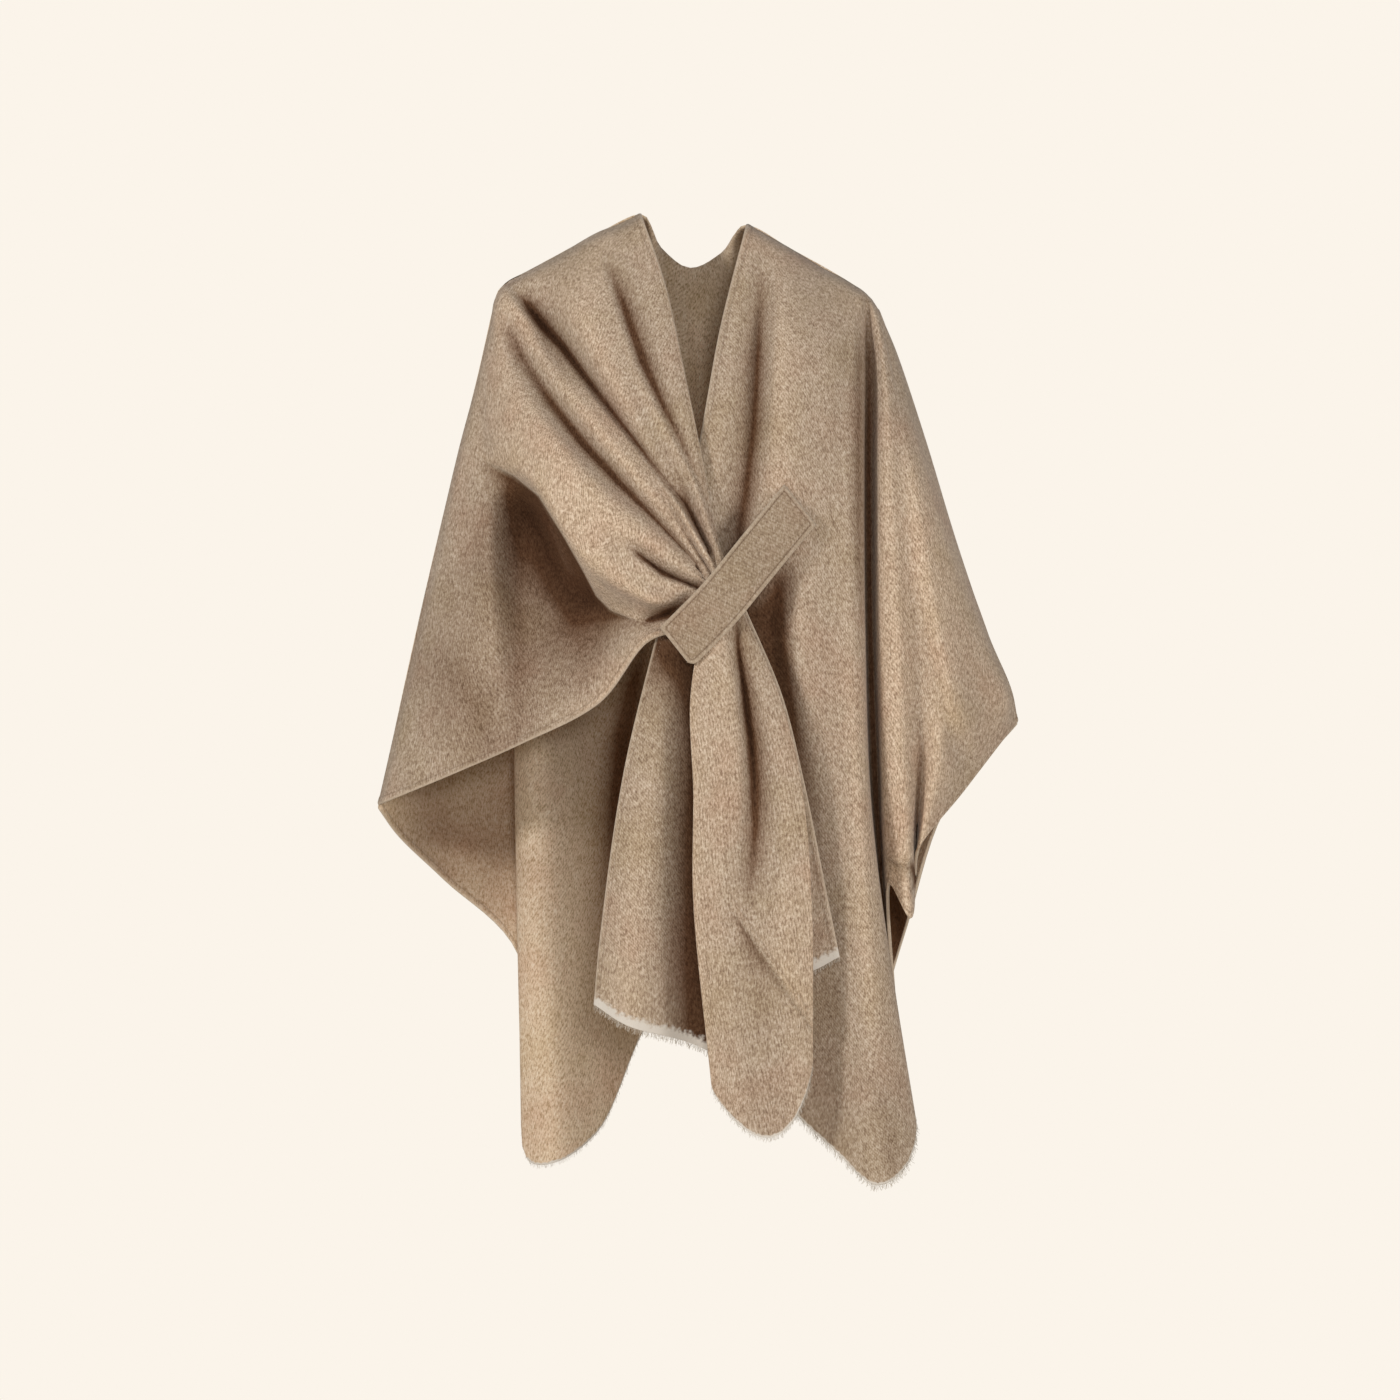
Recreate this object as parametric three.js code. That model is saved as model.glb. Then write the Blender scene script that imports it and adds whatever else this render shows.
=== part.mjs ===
// Open-front wrap poncho in soft twill: one back panel, two front panels that run on from it over the
// shoulders and arms, and a band on the left front that holds the gathered right front.
// Millimetres, +Z up, the front faces -Y. Right and left are the wearer's: right lies towards -X.
// The origin is the middle of the shoulder seam line, where the wearer carries the garment.
import * as THREE from "three";

// Driving sizes
const CLOTH = 2; // thickness of the panels
const BAND_THICK = 3; // two layers of cloth sewn flat
const BAND_WIDTH = 48;
const SEAM_GAP = 0.4; // between front and back along the shoulder and arm line
const SHOULDER_ROUND = 34; // how far the cloth stands off the seam before it falls
const SHOULDER_STEEP = 1.6; // a line that leaves the seam less than this many rounds away is rounded less
const SHOULDER_OUT = 0.3; // the rounded station's way out along the line, as a share of the round
const SHOULDER_DEEP = 0.8; // and its way off the seam plane
const PLEAT_STEP = 5; // height of the lapped pleat on the hanging end
const CELL = { back: 24, front: 20, tail: 17, band: 16 }; // mesh cell along and across the cloth

const CLOTH_COLOUR = 0xb69a7d;
const INSIDE_COLOUR = 0xa58a70;
const BAND_COLOUR = 0xbba083;

// Each row is one line of the drape, from the shoulder or arm seam down to the cloth's lower edge:
// its name, then its stations as [across, up, depth].

// Back panel, from the right arm line round to the left. The right turn to the right column side
// carry the deep fold that stands forward beside the right hip.
const BACK_PANEL = [
  ["right arm line",
    [-183, -43, 0], [-200, -118, 0], [-227, -226, 0], [-250, -324, 0], [-271, -418, 0], [-294, -526, 0]],
  ["right arm roll",
    [-181, -38, 0], [-193, -122, 32], [-216, -233, 38], [-238, -334, 40], [-259, -434, 38], [-275, -553, 30]],
  ["right arm",
    [-179, -35, 0], [-186, -129, 56], [-199, -243, 68], [-214, -352, 76], [-226, -465, 76], [-233, -594, 60]],
  ["right hollow",
    [-176, -32, 0], [-175, -136, 70], [-174, -254, 86], [-165, -395, 92], [-152, -517, 90], [-163, -665, 60]],
  ["right turn",
    [-170, -27, 0], [-164, -139, 76], [-164, -263, 88], [-165, -414, 70], [-165, -517, 46], [-154, -858, 40]],
  ["right column",
    [-156, -20, 0], [-146, -141, 84], [-145, -273, 90], [-143, -418, 54], [-136, -526, 28], [-129, -861, 24]],
  ["right column side",
    [-130, -6, 0], [-105, -143, 96], [-103, -277, 104], [-100, -423, 86], [-90, -531, 58], [-87, -831, 50]],
  ["right recess",
    [-85, 18, 0], [-58, -143, 104], [-55, -291, 112], [-49, -434, 112], [-42, -550, 102], [-39, -731, 96]],
  ["right neck point",
    [-46, 35, 0], [-36, -137, 102], [-32, -291, 112], [-28, -436, 114], [-24, -559, 108], [-21, -727, 103]],
  ["neck right",
    [-28, 6, 44], [-21, -139, 103], [-18, -293, 113], [-15, -439, 117], [-12, -569, 112], [-8, -725, 107]],
  ["centre back",
    [0, -13, 66], [0, -141, 106], [0, -296, 118], [1, -442, 122], [2, -575, 118], [4, -724, 113]],
  ["neck left",
    [30, 1, 46], [24, -138, 102], [23, -293, 112], [22, -439, 116], [22, -569, 110], [24, -724, 105]],
  ["left neck point",
    [53, 25, 0], [45, -135, 100], [42, -290, 114], [41, -434, 121], [41, -566, 117], [43, -726, 112]],
  ["left blade",
    [94, 3, 0], [81, -139, 102], [79, -287, 112], [79, -432, 114], [81, -569, 106], [85, -738, 97]],
  ["left fold",
    [132, -18, 0], [118, -141, 94], [118, -280, 106], [122, -423, 110], [128, -564, 102], [133, -773, 88]],
  ["left side",
    [158, -34, 0], [149, -137, 80], [156, -268, 90], [164, -414, 92], [167, -555, 78], [165, -810, 62]],
  ["left hollow",
    [167, -41, 0], [169, -130, 64], [184, -249, 74], [196, -385, 76], [197, -508, 66], [182, -719, 44]],
  ["left arm",
    [172, -47, 0], [186, -124, 50], [207, -230, 60], [224, -352, 62], [226, -465, 56], [205, -637, 38]],
  ["left arm roll",
    [175, -51, 0], [194, -118, 32], [223, -214, 36], [253, -329, 38], [261, -423, 34], [240, -528, 24]],
  ["left arm line",
    [178, -56, 0], [196, -101, 0], [222, -180, 0], [254, -285, 0], [284, -369, 0], [309, -446, 0]],
];

// Left front panel, from its front edge to the left arm line, with the deep fold below the shoulder.
const LEFT_FRONT = [
  ["front edge",
    [53, 26, 0], [28, -75, -78], [9, -179, -112], [-21, -320, -124], [-62, -491, -125], [-84, -644, -122], [-90, -708, -120]],
  ["edge roll",
    [59, 23, 0], [44, -77, -82], [30, -181, -116], [4, -325, -129], [-33, -494, -135], [-53, -653, -135], [-58, -728, -134]],
  ["centre valley",
    [75, 14, 0], [66, -78, -74], [58, -186, -108], [43, -333, -119], [15, -503, -121], [4, -669, -119], [2, -745, -118]],
  ["breast fold",
    [96, 2, 0], [84, -80, -87], [83, -190, -120], [77, -337, -126], [70, -509, -127], [63, -684, -125], [59, -777, -124]],
  ["flat",
    [124, -15, 0], [122, -89, -80], [124, -197, -111], [125, -340, -120], [128, -515, -124], [131, -696, -126], [134, -843, -126]],
  ["column crown",
    [147, -27, 0], [148, -99, -70], [149, -205, -106], [149, -346, -120], [157, -520, -130], [167, -700, -138], [175, -877, -138]],
  ["column edge",
    [153, -31, 0], [155, -101, -66], [156, -207, -101], [157, -348, -115], [164, -522, -124], [180, -696, -130], [200, -862, -128]],
  ["column turn",
    [160, -35, 0], [161, -103, -54], [161, -209, -92], [162, -350, -104], [168, -523, -112], [190, -691, -112], [212, -826, -108]],
  ["fold left",
    [165, -39, 0], [167, -107, -36], [166, -214, -58], [167, -355, -64], [173, -528, -66], [184, -667, -68], [199, -778, -72]],
  ["fold right",
    [168, -42, 0], [172, -109, -36], [171, -216, -58], [172, -357, -64], [178, -522, -66], [184, -611, -66], [192, -705, -68]],
  ["arm lip",
    [171, -45, 0], [178, -112, -50], [179, -221, -88], [180, -362, -100], [183, -508, -100], [186, -564, -96], [188, -596, -92]],
  ["ripple crest",
    [173, -48, 0], [183, -115, -56], [188, -226, -93], [194, -359, -106], [199, -489, -108], [203, -573, -107], [206, -628, -104]],
  ["ripple valley",
    [175, -51, 0], [188, -117, -52], [201, -227, -86], [210, -350, -93], [215, -461, -90], [213, -536, -78], [211, -594, -64]],
  ["arm ridge",
    [176, -53, 0], [191, -118, -46], [213, -224, -80], [229, -334, -92], [237, -428, -99], [227, -504, -99], [215, -562, -96]],
  ["arm valley",
    [177, -54, 0], [194, -115, -38], [221, -216, -62], [248, -324, -70], [264, -400, -72], [268, -449, -66], [256, -510, -62]],
  ["arm roll",
    [178, -55, 0], [195, -107, -26], [223, -203, -38], [255, -308, -42], [281, -385, -44], [296, -425, -38], [292, -464, -28]],
  ["arm line",
    [178, -56, 0], [194, -94, 0], [221, -175, 0], [252, -277, 0], [282, -364, 0], [303, -414, 0], [309, -444, 0]],
];

// Right front panel, from its front edge to its side edge. Every line runs into the band.
const RIGHT_FRONT = [
  ["front edge",
    [-46, 36, 0], [-23, -33, -62], [-4, -122, -108], [13, -205, -134], [27, -277, -147], [40, -308, -149]],
  ["edge ridge",
    [-64, 27, 0], [-39, -47, -76], [-16, -132, -121], [7, -212, -142], [24, -281, -151], [39, -311, -152]],
  ["neck valley",
    [-87, 18, 0], [-73, -52, -68], [-45, -139, -113], [-9, -212, -135], [18, -283, -147], [35, -315, -150]],
  ["breast ridge",
    [-122, -2, 0], [-101, -68, -78], [-62, -147, -125], [-20, -219, -147], [14, -286, -153], [32, -318, -153]],
  ["long valley",
    [-160, -22, 0], [-132, -86, -52], [-82, -151, -104], [-33, -216, -133], [10, -289, -145], [29, -321, -149]],
  ["long ridge",
    [-170, -27, 0], [-144, -96, -64], [-95, -162, -118], [-43, -227, -145], [7, -291, -153], [26, -323, -153]],
  ["broad valley",
    [-177, -33, 0], [-158, -103, -58], [-113, -171, -108], [-56, -233, -138], [2, -294, -149], [23, -327, -150]],
  ["upper roll",
    [-184, -46, 0], [-171, -124, -64], [-131, -180, -122], [-74, -246, -150], [-8, -299, -155], [24, -317, -154]],
  ["short valley",
    [-187, -63, 0], [-178, -146, -64], [-139, -196, -123], [-84, -266, -149], [-14, -313, -149], [22, -319, -151]],
  ["roll crest",
    [-193, -90, 0], [-184, -174, -62], [-146, -215, -119], [-94, -290, -150], [-24, -332, -153], [18, -325, -152]],
  ["roll under",
    [-201, -124, 0], [-187, -200, -52], [-149, -227, -88], [-100, -303, -112], [-26, -340, -136], [13, -333, -146]],
  ["below roll",
    [-217, -184, 0], [-190, -238, -54], [-154, -250, -46], [-108, -322, -56], [-40, -351, -124], [6, -343, -141]],
  ["drape",
    [-239, -278, 0], [-197, -312, -62], [-158, -334, -52], [-106, -360, -64], [-44, -358, -122], [1, -350, -140]],
  ["low drape",
    [-261, -376, 0], [-207, -393, -70], [-160, -410, -66], [-100, -398, -80], [-42, -364, -127], [-2, -354, -139]],
  ["side edge",
    [-294, -522, 0], [-226, -494, -66], [-160, -465, -78], [-85, -426, -92], [-38, -368, -129], [-4, -358, -138]],
];

// The same panel below the band, from its front edge, folded in three, to its hidden side edge.
const RIGHT_FRONT_TAIL = [
  ["front edge",
    [51, -335, -137], [86, -418, -136], [106, -496, -136], [128, -604, -137], [140, -663, -137]],
  ["under layer",
    [45, -337, -138], [73, -418, -138], [94, -498, -138], [111, -607, -139], [120, -674, -139]],
  ["hidden turn", [39, -341, -141], [58, -419, -143], [73, -500, -143], [81, -609, -143], [85, -691, -143]],
  ["middle layer",
    [44, -339, -145], [70, -419, -148], [91, -501, -149], [100, -611, -149], [101, -733, -149]],
  ["left turn",
    [48, -337, -149], [82, -417, -154], [103, -499, -154], [113, -609, -154], [114, -757, -153]],
  ["left ridge", [43, -339, -154], [68, -419, -161], [86, -501, -163], [90, -609, -163], [100, -810, -160]],
  ["valley", [35, -345, -152], [49, -420, -148], [56, -503, -152], [55, -606, -157], [83, -829, -158]],
  ["inner ridge", [29, -349, -154], [40, -420, -157], [45, -503, -160], [41, -606, -160], [66, -831, -158]],
  ["crest", [20, -355, -155], [23, -423, -161], [26, -505, -163], [24, -611, -161], [45, -818, -158]],
  ["right turn", [9, -364, -150], [1, -426, -152], [4, -508, -152], [4, -611, -152], [21, -784, -150]],
  ["behind", [15, -360, -144], [11, -426, -144], [17, -508, -144], [17, -611, -144], [30, -773, -143]],
  ["side edge", [24, -354, -142], [30, -423, -141], [38, -506, -141], [38, -611, -141], [49, -761, -140]],
];

// Middle line of the band, [across, up], from its sewn upper end over the bundle to its lower end.
// Its depth comes from what it lies on.
const BAND_LINE = [[103, -240], [62, -290], [27, -333], [-13, -374]];
const BAND_SEAT = 0.35; // air between the band and the cloth under it
const BAND_ACROSS = [0.62, -0.785]; // direction of the band's width, in x and z
const BAND_CROWN = 3; // how far its middle stands out over its edges
const BAND_CELLS_ACROSS = 4;
const BAND_PROBES = [-0.5, -0.25, 0, 0.25, 0.5]; // where its supports are felt, in cells along it

// The pleat's edge on the hanging end, from where it rises to the outer fold
const PLEAT_EDGE = { start: [30, -604], end: [114, -719] };
const PLEAT_RISE = 0.5; // share of the edge over which the step rises to its full height
const HIDDEN_DEPTH = -151; // layers of the hanging end behind this depth are under the outer ones

const vector = ([x, z, y]) => new THREE.Vector3(x, y, z);

// A point that leaves the seam level and turns down: it keeps the cloth round over shoulder and arm.
function roundedStation(top, next) {
  const away = new THREE.Vector3().subVectors(next, top);
  const side = Math.sign(away.y);
  const reach = SHOULDER_ROUND * Math.min(1, Math.abs(away.y) / (SHOULDER_STEEP * SHOULDER_ROUND));
  away.y = 0;
  away.setLength(SHOULDER_OUT * reach);
  away.y = SHOULDER_DEEP * side * reach;
  return top.clone().add(away);
}

// The curve of one line. All lines of a panel have the same number of stations.
function lineCurve(row, startsAtSeam) {
  const stations = row.slice(1).map(vector);
  const [top, next] = stations;
  const onSeam = startsAtSeam && top.y === 0 && next.y !== 0;
  const extra = onSeam ? roundedStation(top, next) : top.clone().lerp(next, SHOULDER_OUT);
  if (startsAtSeam) stations.splice(1, 0, extra);
  return new THREE.CatmullRomCurve3(stations, false, "centripetal");
}

// Whole cells that fit the mean distance between two rows of points.
function cellsBetween(pointsA, pointsB, cell) {
  const total = pointsA.reduce((sum, p, i) => sum + p.distanceTo(pointsB[i]), 0);
  return Math.max(1, Math.round(total / pointsA.length / cell));
}

// Parameters of a curve through `knots` points, with the given number of cells in each span.
function spread(cells) {
  const values = [0];
  cells.forEach((count, span) => {
    for (let i = 1; i <= count; i++) values.push((span + i / count) / cells.length);
  });
  return values;
}

// Grid of points of a panel: rows run down the cloth, columns across it.
function surfaceGrid(table, cell, startsAtSeam = true) {
  const curves = table.map((row) => lineCurve(row, startsAtSeam));
  const stationCount = curves[0].points.length;
  const downCells = [];
  for (let i = 1; i < stationCount; i++) {
    const above = curves.map((c) => c.points[i - 1]);
    const below = curves.map((c) => c.points[i]);
    downCells.push(cellsBetween(above, below, cell));
  }
  const acrossCells = [];
  for (let j = 1; j < curves.length; j++) {
    acrossCells.push(cellsBetween(curves[j - 1].points, curves[j].points, cell));
  }
  const acrossAt = spread(acrossCells);
  return spread(downCells).map((t) => {
    const knots = curves.map((c) => c.getPoint(t));
    const row = new THREE.CatmullRomCurve3(knots, false, "centripetal");
    return acrossAt.map((s) => row.getPoint(s));
  });
}

// Unit normals of a grid, from its neighbouring points.
function gridNormals(grid) {
  const rows = grid.length;
  const cols = grid[0].length;
  return grid.map((row, i) =>
    row.map((_, j) => {
      const down = new THREE.Vector3().subVectors(
        grid[Math.min(i + 1, rows - 1)][j], grid[Math.max(i - 1, 0)][j]);
      const across = new THREE.Vector3().subVectors(
        row[Math.min(j + 1, cols - 1)], row[Math.max(j - 1, 0)]);
      return down.cross(across).normalize();
    }),
  );
}

// A closed wall of the given thickness about a grid of points.
function wallGeometry(grid, thickness, limit = (p) => p) {
  const rows = grid.length;
  const cols = grid[0].length;
  const normals = gridNormals(grid);
  const positions = [];
  const index = [];
  for (const half of [thickness / 2, -thickness / 2]) {
    grid.forEach((row, i) => row.forEach((p, j) => {
      const q = limit(p.clone().addScaledVector(normals[i][j], half));
      positions.push(q.x, q.y, q.z);
    }));
  }
  const at = (side, i, j) => side * rows * cols + i * cols + j;
  const quad = (a, b, c, d) => index.push(a, b, c, a, c, d);
  for (let i = 0; i + 1 < rows; i++) {
    for (let j = 0; j + 1 < cols; j++) {
      quad(at(0, i, j), at(0, i + 1, j), at(0, i + 1, j + 1), at(0, i, j + 1));
      quad(at(1, i, j), at(1, i, j + 1), at(1, i + 1, j + 1), at(1, i + 1, j));
    }
  }
  for (let i = 0; i + 1 < rows; i++) {
    quad(at(0, i, 0), at(1, i, 0), at(1, i + 1, 0), at(0, i + 1, 0));
    quad(at(0, i + 1, cols - 1), at(1, i + 1, cols - 1), at(1, i, cols - 1), at(0, i, cols - 1));
  }
  for (let j = 0; j + 1 < cols; j++) {
    quad(at(0, 0, j + 1), at(1, 0, j + 1), at(1, 0, j), at(0, 0, j));
    quad(at(0, rows - 1, j), at(1, rows - 1, j), at(1, rows - 1, j + 1), at(0, rows - 1, j + 1));
  }
  const geometry = new THREE.BufferGeometry();
  geometry.setAttribute("position", new THREE.Float32BufferAttribute(positions, 3));
  geometry.setIndex(index);
  geometry.computeVertexNormals();
  return geometry;
}

// Keeps a wall on its own side of the seam plane: -1 is the front, 1 the back.
const besideSeam = (side) => (p) => {
  p.y = side * Math.max(side * p.y, SEAM_GAP / 2);
  return p;
};

function clothMesh(name, geometry, color) {
  const material = new THREE.MeshStandardMaterial({
    color, roughness: 0.95, metalness: 0, side: THREE.DoubleSide,
  });
  const mesh = new THREE.Mesh(geometry, material);
  mesh.name = name;
  return mesh;
}

// The lapped pleat: the cloth above its edge line stands out by one step.
function raisePleat(grid) {
  const [x0, z0] = PLEAT_EDGE.start;
  const [x1, z1] = PLEAT_EDGE.end;
  const length = Math.hypot(x1 - x0, z1 - z0);
  for (const row of grid) {
    for (const p of row) {
      if (p.y > HIDDEN_DEPTH) continue; // hidden layers stay flat
      const along = ((p.x - x0) * (x1 - x0) + (p.z - z0) * (z1 - z0)) / length ** 2;
      const above = ((p.x - x0) * (z0 - z1) + (p.z - z0) * (x1 - x0)) / length;
      if (above > 0) p.y -= PLEAT_STEP * THREE.MathUtils.smoothstep(along, 0, PLEAT_RISE);
    }
  }
  return grid;
}

function backPanel() {
  const grid = surfaceGrid(BACK_PANEL, CELL.back);
  return clothMesh("back", wallGeometry(grid, CLOTH, besideSeam(1)), INSIDE_COLOUR);
}

function leftFront() {
  const grid = surfaceGrid(LEFT_FRONT, CELL.front);
  return clothMesh("left_front", wallGeometry(grid, CLOTH, besideSeam(-1)), CLOTH_COLOUR);
}

function rightFront() {
  const grid = surfaceGrid(RIGHT_FRONT, CELL.front);
  return clothMesh("right_front", wallGeometry(grid, CLOTH, besideSeam(-1)), CLOTH_COLOUR);
}

function rightFrontTail() {
  const grid = raisePleat(surfaceGrid(RIGHT_FRONT_TAIL, CELL.tail, false));
  return clothMesh("right_front_tail", wallGeometry(grid, CLOTH), CLOTH_COLOUR);
}

// Depth of the front-most face of the given meshes at one place, or nothing where they leave it open.
function frontFace(meshes, x, z) {
  const [a, b, c] = [new THREE.Vector3(), new THREE.Vector3(), new THREE.Vector3()];
  let front = Infinity;
  for (const { geometry } of meshes) {
    const places = geometry.getAttribute("position");
    const corners = geometry.index;
    for (let i = 0; i < corners.count; i += 3) {
      a.fromBufferAttribute(places, corners.getX(i));
      b.fromBufferAttribute(places, corners.getX(i + 1));
      c.fromBufferAttribute(places, corners.getX(i + 2));
      const twice = (b.x - a.x) * (c.z - a.z) - (c.x - a.x) * (b.z - a.z);
      if (Math.abs(twice) < 1e-6) continue;
      const v = ((x - a.x) * (c.z - a.z) - (c.x - a.x) * (z - a.z)) / twice;
      const w = ((b.x - a.x) * (z - a.z) - (x - a.x) * (b.z - a.z)) / twice;
      if (v < 0 || w < 0 || v + w > 1) continue;
      front = Math.min(front, a.y + v * (b.y - a.y) + w * (c.y - a.y));
    }
  }
  return front;
}

// Depths of a strap drawn tight over its supports: the outer hull of what each station needs.
function drawnTight(needed) {
  const hull = [];
  needed.forEach((depth, i) => {
    while (hull.length > 1) {
      const [[i0, y0], [i1, y1]] = hull.slice(-2);
      if ((y1 - y0) * (i - i0) <= (depth - y0) * (i1 - i0)) break;
      hull.pop();
    }
    hull.push([i, depth]);
  });
  return needed.map((_, i) => {
    const k = Math.max(1, hull.findIndex(([at]) => at >= i));
    const [[i0, y0], [i1, y1]] = [hull[k - 1], hull[k]];
    return y0 + ((y1 - y0) * (i - i0)) / (i1 - i0);
  });
}

function band(under) {
  const middle = new THREE.CatmullRomCurve3(BAND_LINE.map(([x, z]) => new THREE.Vector3(x, 0, z)));
  const alongCells = Math.round(middle.getLength() / CELL.band);
  const [widthX, widthZ] = BAND_ACROSS;
  const place = (along, side) => {
    const p = middle.getPoint(along);
    const offset = (side * BAND_WIDTH) / 2;
    const crown = BAND_CROWN * (1 - side * side);
    return new THREE.Vector3(p.x + offset * widthX, -crown, p.z + offset * widthZ);
  };
  const stations = Array.from({ length: alongCells + 1 }, (_, i) => i / alongCells);
  const sides = Array.from(
    { length: BAND_CELLS_ACROSS + 1 }, (_, j) => (2 * j) / BAND_CELLS_ACROSS - 1);
  const probes = BAND_PROBES.map((cells) => cells / alongCells);
  const needed = stations.map((along) => Math.min(...probes.flatMap((near) =>
    sides.flatMap((side) => {
      const p = place(THREE.MathUtils.clamp(along + near, 0, 1), side);
      return frontFace(under, p.x, p.z) - p.y;
    }))) - BAND_SEAT - BAND_THICK / 2);
  const depths = drawnTight(needed);
  const grid = stations.map((along, i) => sides.map((side) => {
    const p = place(along, side);
    p.y += depths[i];
    return p;
  }));
  return clothMesh("band", wallGeometry(grid, BAND_THICK), BAND_COLOUR);
}

const fronts = [leftFront(), rightFront(), rightFrontTail()];
const poncho = new THREE.Group();
poncho.add(backPanel(), ...fronts, band(fronts));

export default poncho;
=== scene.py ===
"""Open-front wrap poncho in soft camel twill: finish, hems, selvedge, stitching and light.

Sizes are in millimetres in the tables and in metres in the scene. Right and left are the wearer's.
"""
import math

import bpy
import numpy as np
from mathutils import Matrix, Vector
from mathutils.bvhtree import BVHTree


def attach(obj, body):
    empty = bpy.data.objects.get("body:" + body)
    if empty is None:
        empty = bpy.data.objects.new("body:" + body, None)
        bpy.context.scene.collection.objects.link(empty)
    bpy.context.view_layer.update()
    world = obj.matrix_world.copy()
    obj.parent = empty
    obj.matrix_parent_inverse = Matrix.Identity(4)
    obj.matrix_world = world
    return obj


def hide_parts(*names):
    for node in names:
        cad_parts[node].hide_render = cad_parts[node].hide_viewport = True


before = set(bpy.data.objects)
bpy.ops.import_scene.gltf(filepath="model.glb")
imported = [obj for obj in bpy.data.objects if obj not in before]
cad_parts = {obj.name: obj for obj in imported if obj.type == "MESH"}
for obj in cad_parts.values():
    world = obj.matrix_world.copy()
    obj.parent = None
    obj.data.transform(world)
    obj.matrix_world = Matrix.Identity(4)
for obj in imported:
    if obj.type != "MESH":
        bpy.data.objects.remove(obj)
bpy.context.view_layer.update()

MM = 0.001
# A distance, or a line of a panel, that nothing reaches
FAR = 1000.0
NOWHERE = (99, 100)

# The cloth's thickness, the gap at the shoulder seam, and how round the cloth goes over the shoulder
CLOTH = 2.0
SEAM_GAP = 0.4
SHOULDER_ROUND = 34.0
SHOULDER_REACH = 0.3
SHOULDER_SLOPE = 1.6
SHOULDER_DROP = 0.8
# The fewest cells between an edge and the line beside it, and how they crowd towards the edge
EDGE_CELLS = 12
EDGE_CROWDING = 1.6

# Turned hem: where its fold comes up and lies full, its rise, its stitch groove and its rounded rim
HEM_FOLD = (8.6, 6.4)
HEM_RISE = 0.7
HEM_STITCH = 6.0
GROOVE_DEPTH, GROOVE_WIDTH = 0.525, 0.8
RIM_THIN, RIM_WIDTH = 0.55, 0.9
# Selvedge: its width on the hanging ends, its width elsewhere, and the share of thickness it loses
SELVEDGE = 12.0
SELVEDGE_THIN = 3.0
SELVEDGE_SOFT = 0.5
# How far on each side of a point the cloth is taken as its surroundings, and with what weight, and
# how much of a fold's relief the marks of the inner face show. These marks paint shade into hollows
# and highlights onto crests.
HOLLOW_REACH = [[5.0, 1.2], [14.0, 1.0], [36.0, 0.55]]
INSIDE_HOLLOW = 0.25
# The amount of painted shade at which a crest loses its painted highlight
CREST_LEVELLED = 4

# Stitches
STITCH_LENGTH = 2.6
STITCH_THREAD = 0.5
STITCH_SINK = 0.15
STITCH_PITCH = 3.6
# Loose yarn ends at a selvedge: length, spacing and spread, their thickness, how much further down
# than the cloth they point, and the first one's seed
FRAY = {"back": [3.6, 0.9, 0.45], "left_front": [6.0, 0.42, 0.6], "right_front_tail": [4.5, 0.5, 0.55]}
FRAY_THREAD = 0.35
FRAY_FALL = 0.35
FRAY_SEED = 11

# Band: its size, rows, columns as shares of half its width, rounded corner, seam, folded edge with
# its groove and rim, and its middle line and the way across it as [across, up]
BAND_THICK = 3.0
BAND_WIDTH = 48.0
BAND_ROWS = 90
BAND_COLUMNS = [(-1, -0.72, 14), (-0.68, 0.68, 30), (0.72, 1, 14)]
BAND_CORNER = 9.0
BAND_SEAM = 4.2
BAND_FOLD = (4.4, 3.2)
BAND_RISE = 0.4
BAND_GROOVE, BAND_GROOVE_WIDTH = 0.6, 0.7
BAND_RIM, BAND_RIM_WIDTH = 0.5, 0.8
BAND_LINE = [[103, -240], [62, -290], [27, -333], [-13, -374]]
BAND_ACROSS = [0.62, -0.785]

# How high the cloth swells beside a trough and beside a fold's crest, as a share of its depth
TROUGH_LIP, FOLD_LIP = 0.2, 0.25
# Where the right front's folds meet, how far from there they are narrowest and full, their least
# share of the width, and the lower and right limits of the left front's stretch under it
GATHER_POINT = (20, -318)
GATHER_NEAR, GATHER_FAR, GATHER_LEAST = 15, 160, 0.35
OVERLAP_LOW, OVERLAP_RIGHT = -354, -60
# The lapped pleat of the hanging end: its edge line, its step and how its painted shade fades below it.
# The end's layers are hidden behind these depths, where the pleat steps and where its edge shows.
PLEAT_FROM, PLEAT_TO = (34, -610), (103, -712)
PLEAT_STEP = 5.0
PLEAT_SHADE, PLEAT_SHADE_REACH = 5.0, 4.0
HIDDEN_DEPTH, FACE_DEPTH = -151, -147
# Height and length of the free-hanging back's soft waves, how far below the seam they start and are
# full, how many run into each other, and how high their usual peak is, which is scaled to 1
UNEVEN, UNEVEN_PITCH, UNEVEN_SEED = 1.8, 150, 7
UNEVEN_BELOW = (60, 200)
STRAY_WAVES, STRAY_PEAK = 7, 1.2

# Stage: metres, watts. The frame's width is measured a little in front of the origin.
FLOOR = -1.38
FRAME_WIDTH = 1.316
CAMERA_AWAY, CAMERA_X, CAMERA_Z = 14.0, 0.0094, -0.423
FRONT_DEPTH = 0.07
LAMP_AIM = (0.0, 0.0, -0.42)
ROOM_LIGHT = 0.21
LAMPS = [
    ["Key_softbox", (-4.2, -3.9, 1.6), 1.0, 128, "#FFFDFA"],
    ["Front_softbox", (0.5, -6.5, 0.3), 1.2, 82, "#FFFFFF"],
    ["Right_softbox", (4.6, -3.4, 0.3), 1.6, 76, "#FFFDFA"],
]

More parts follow.
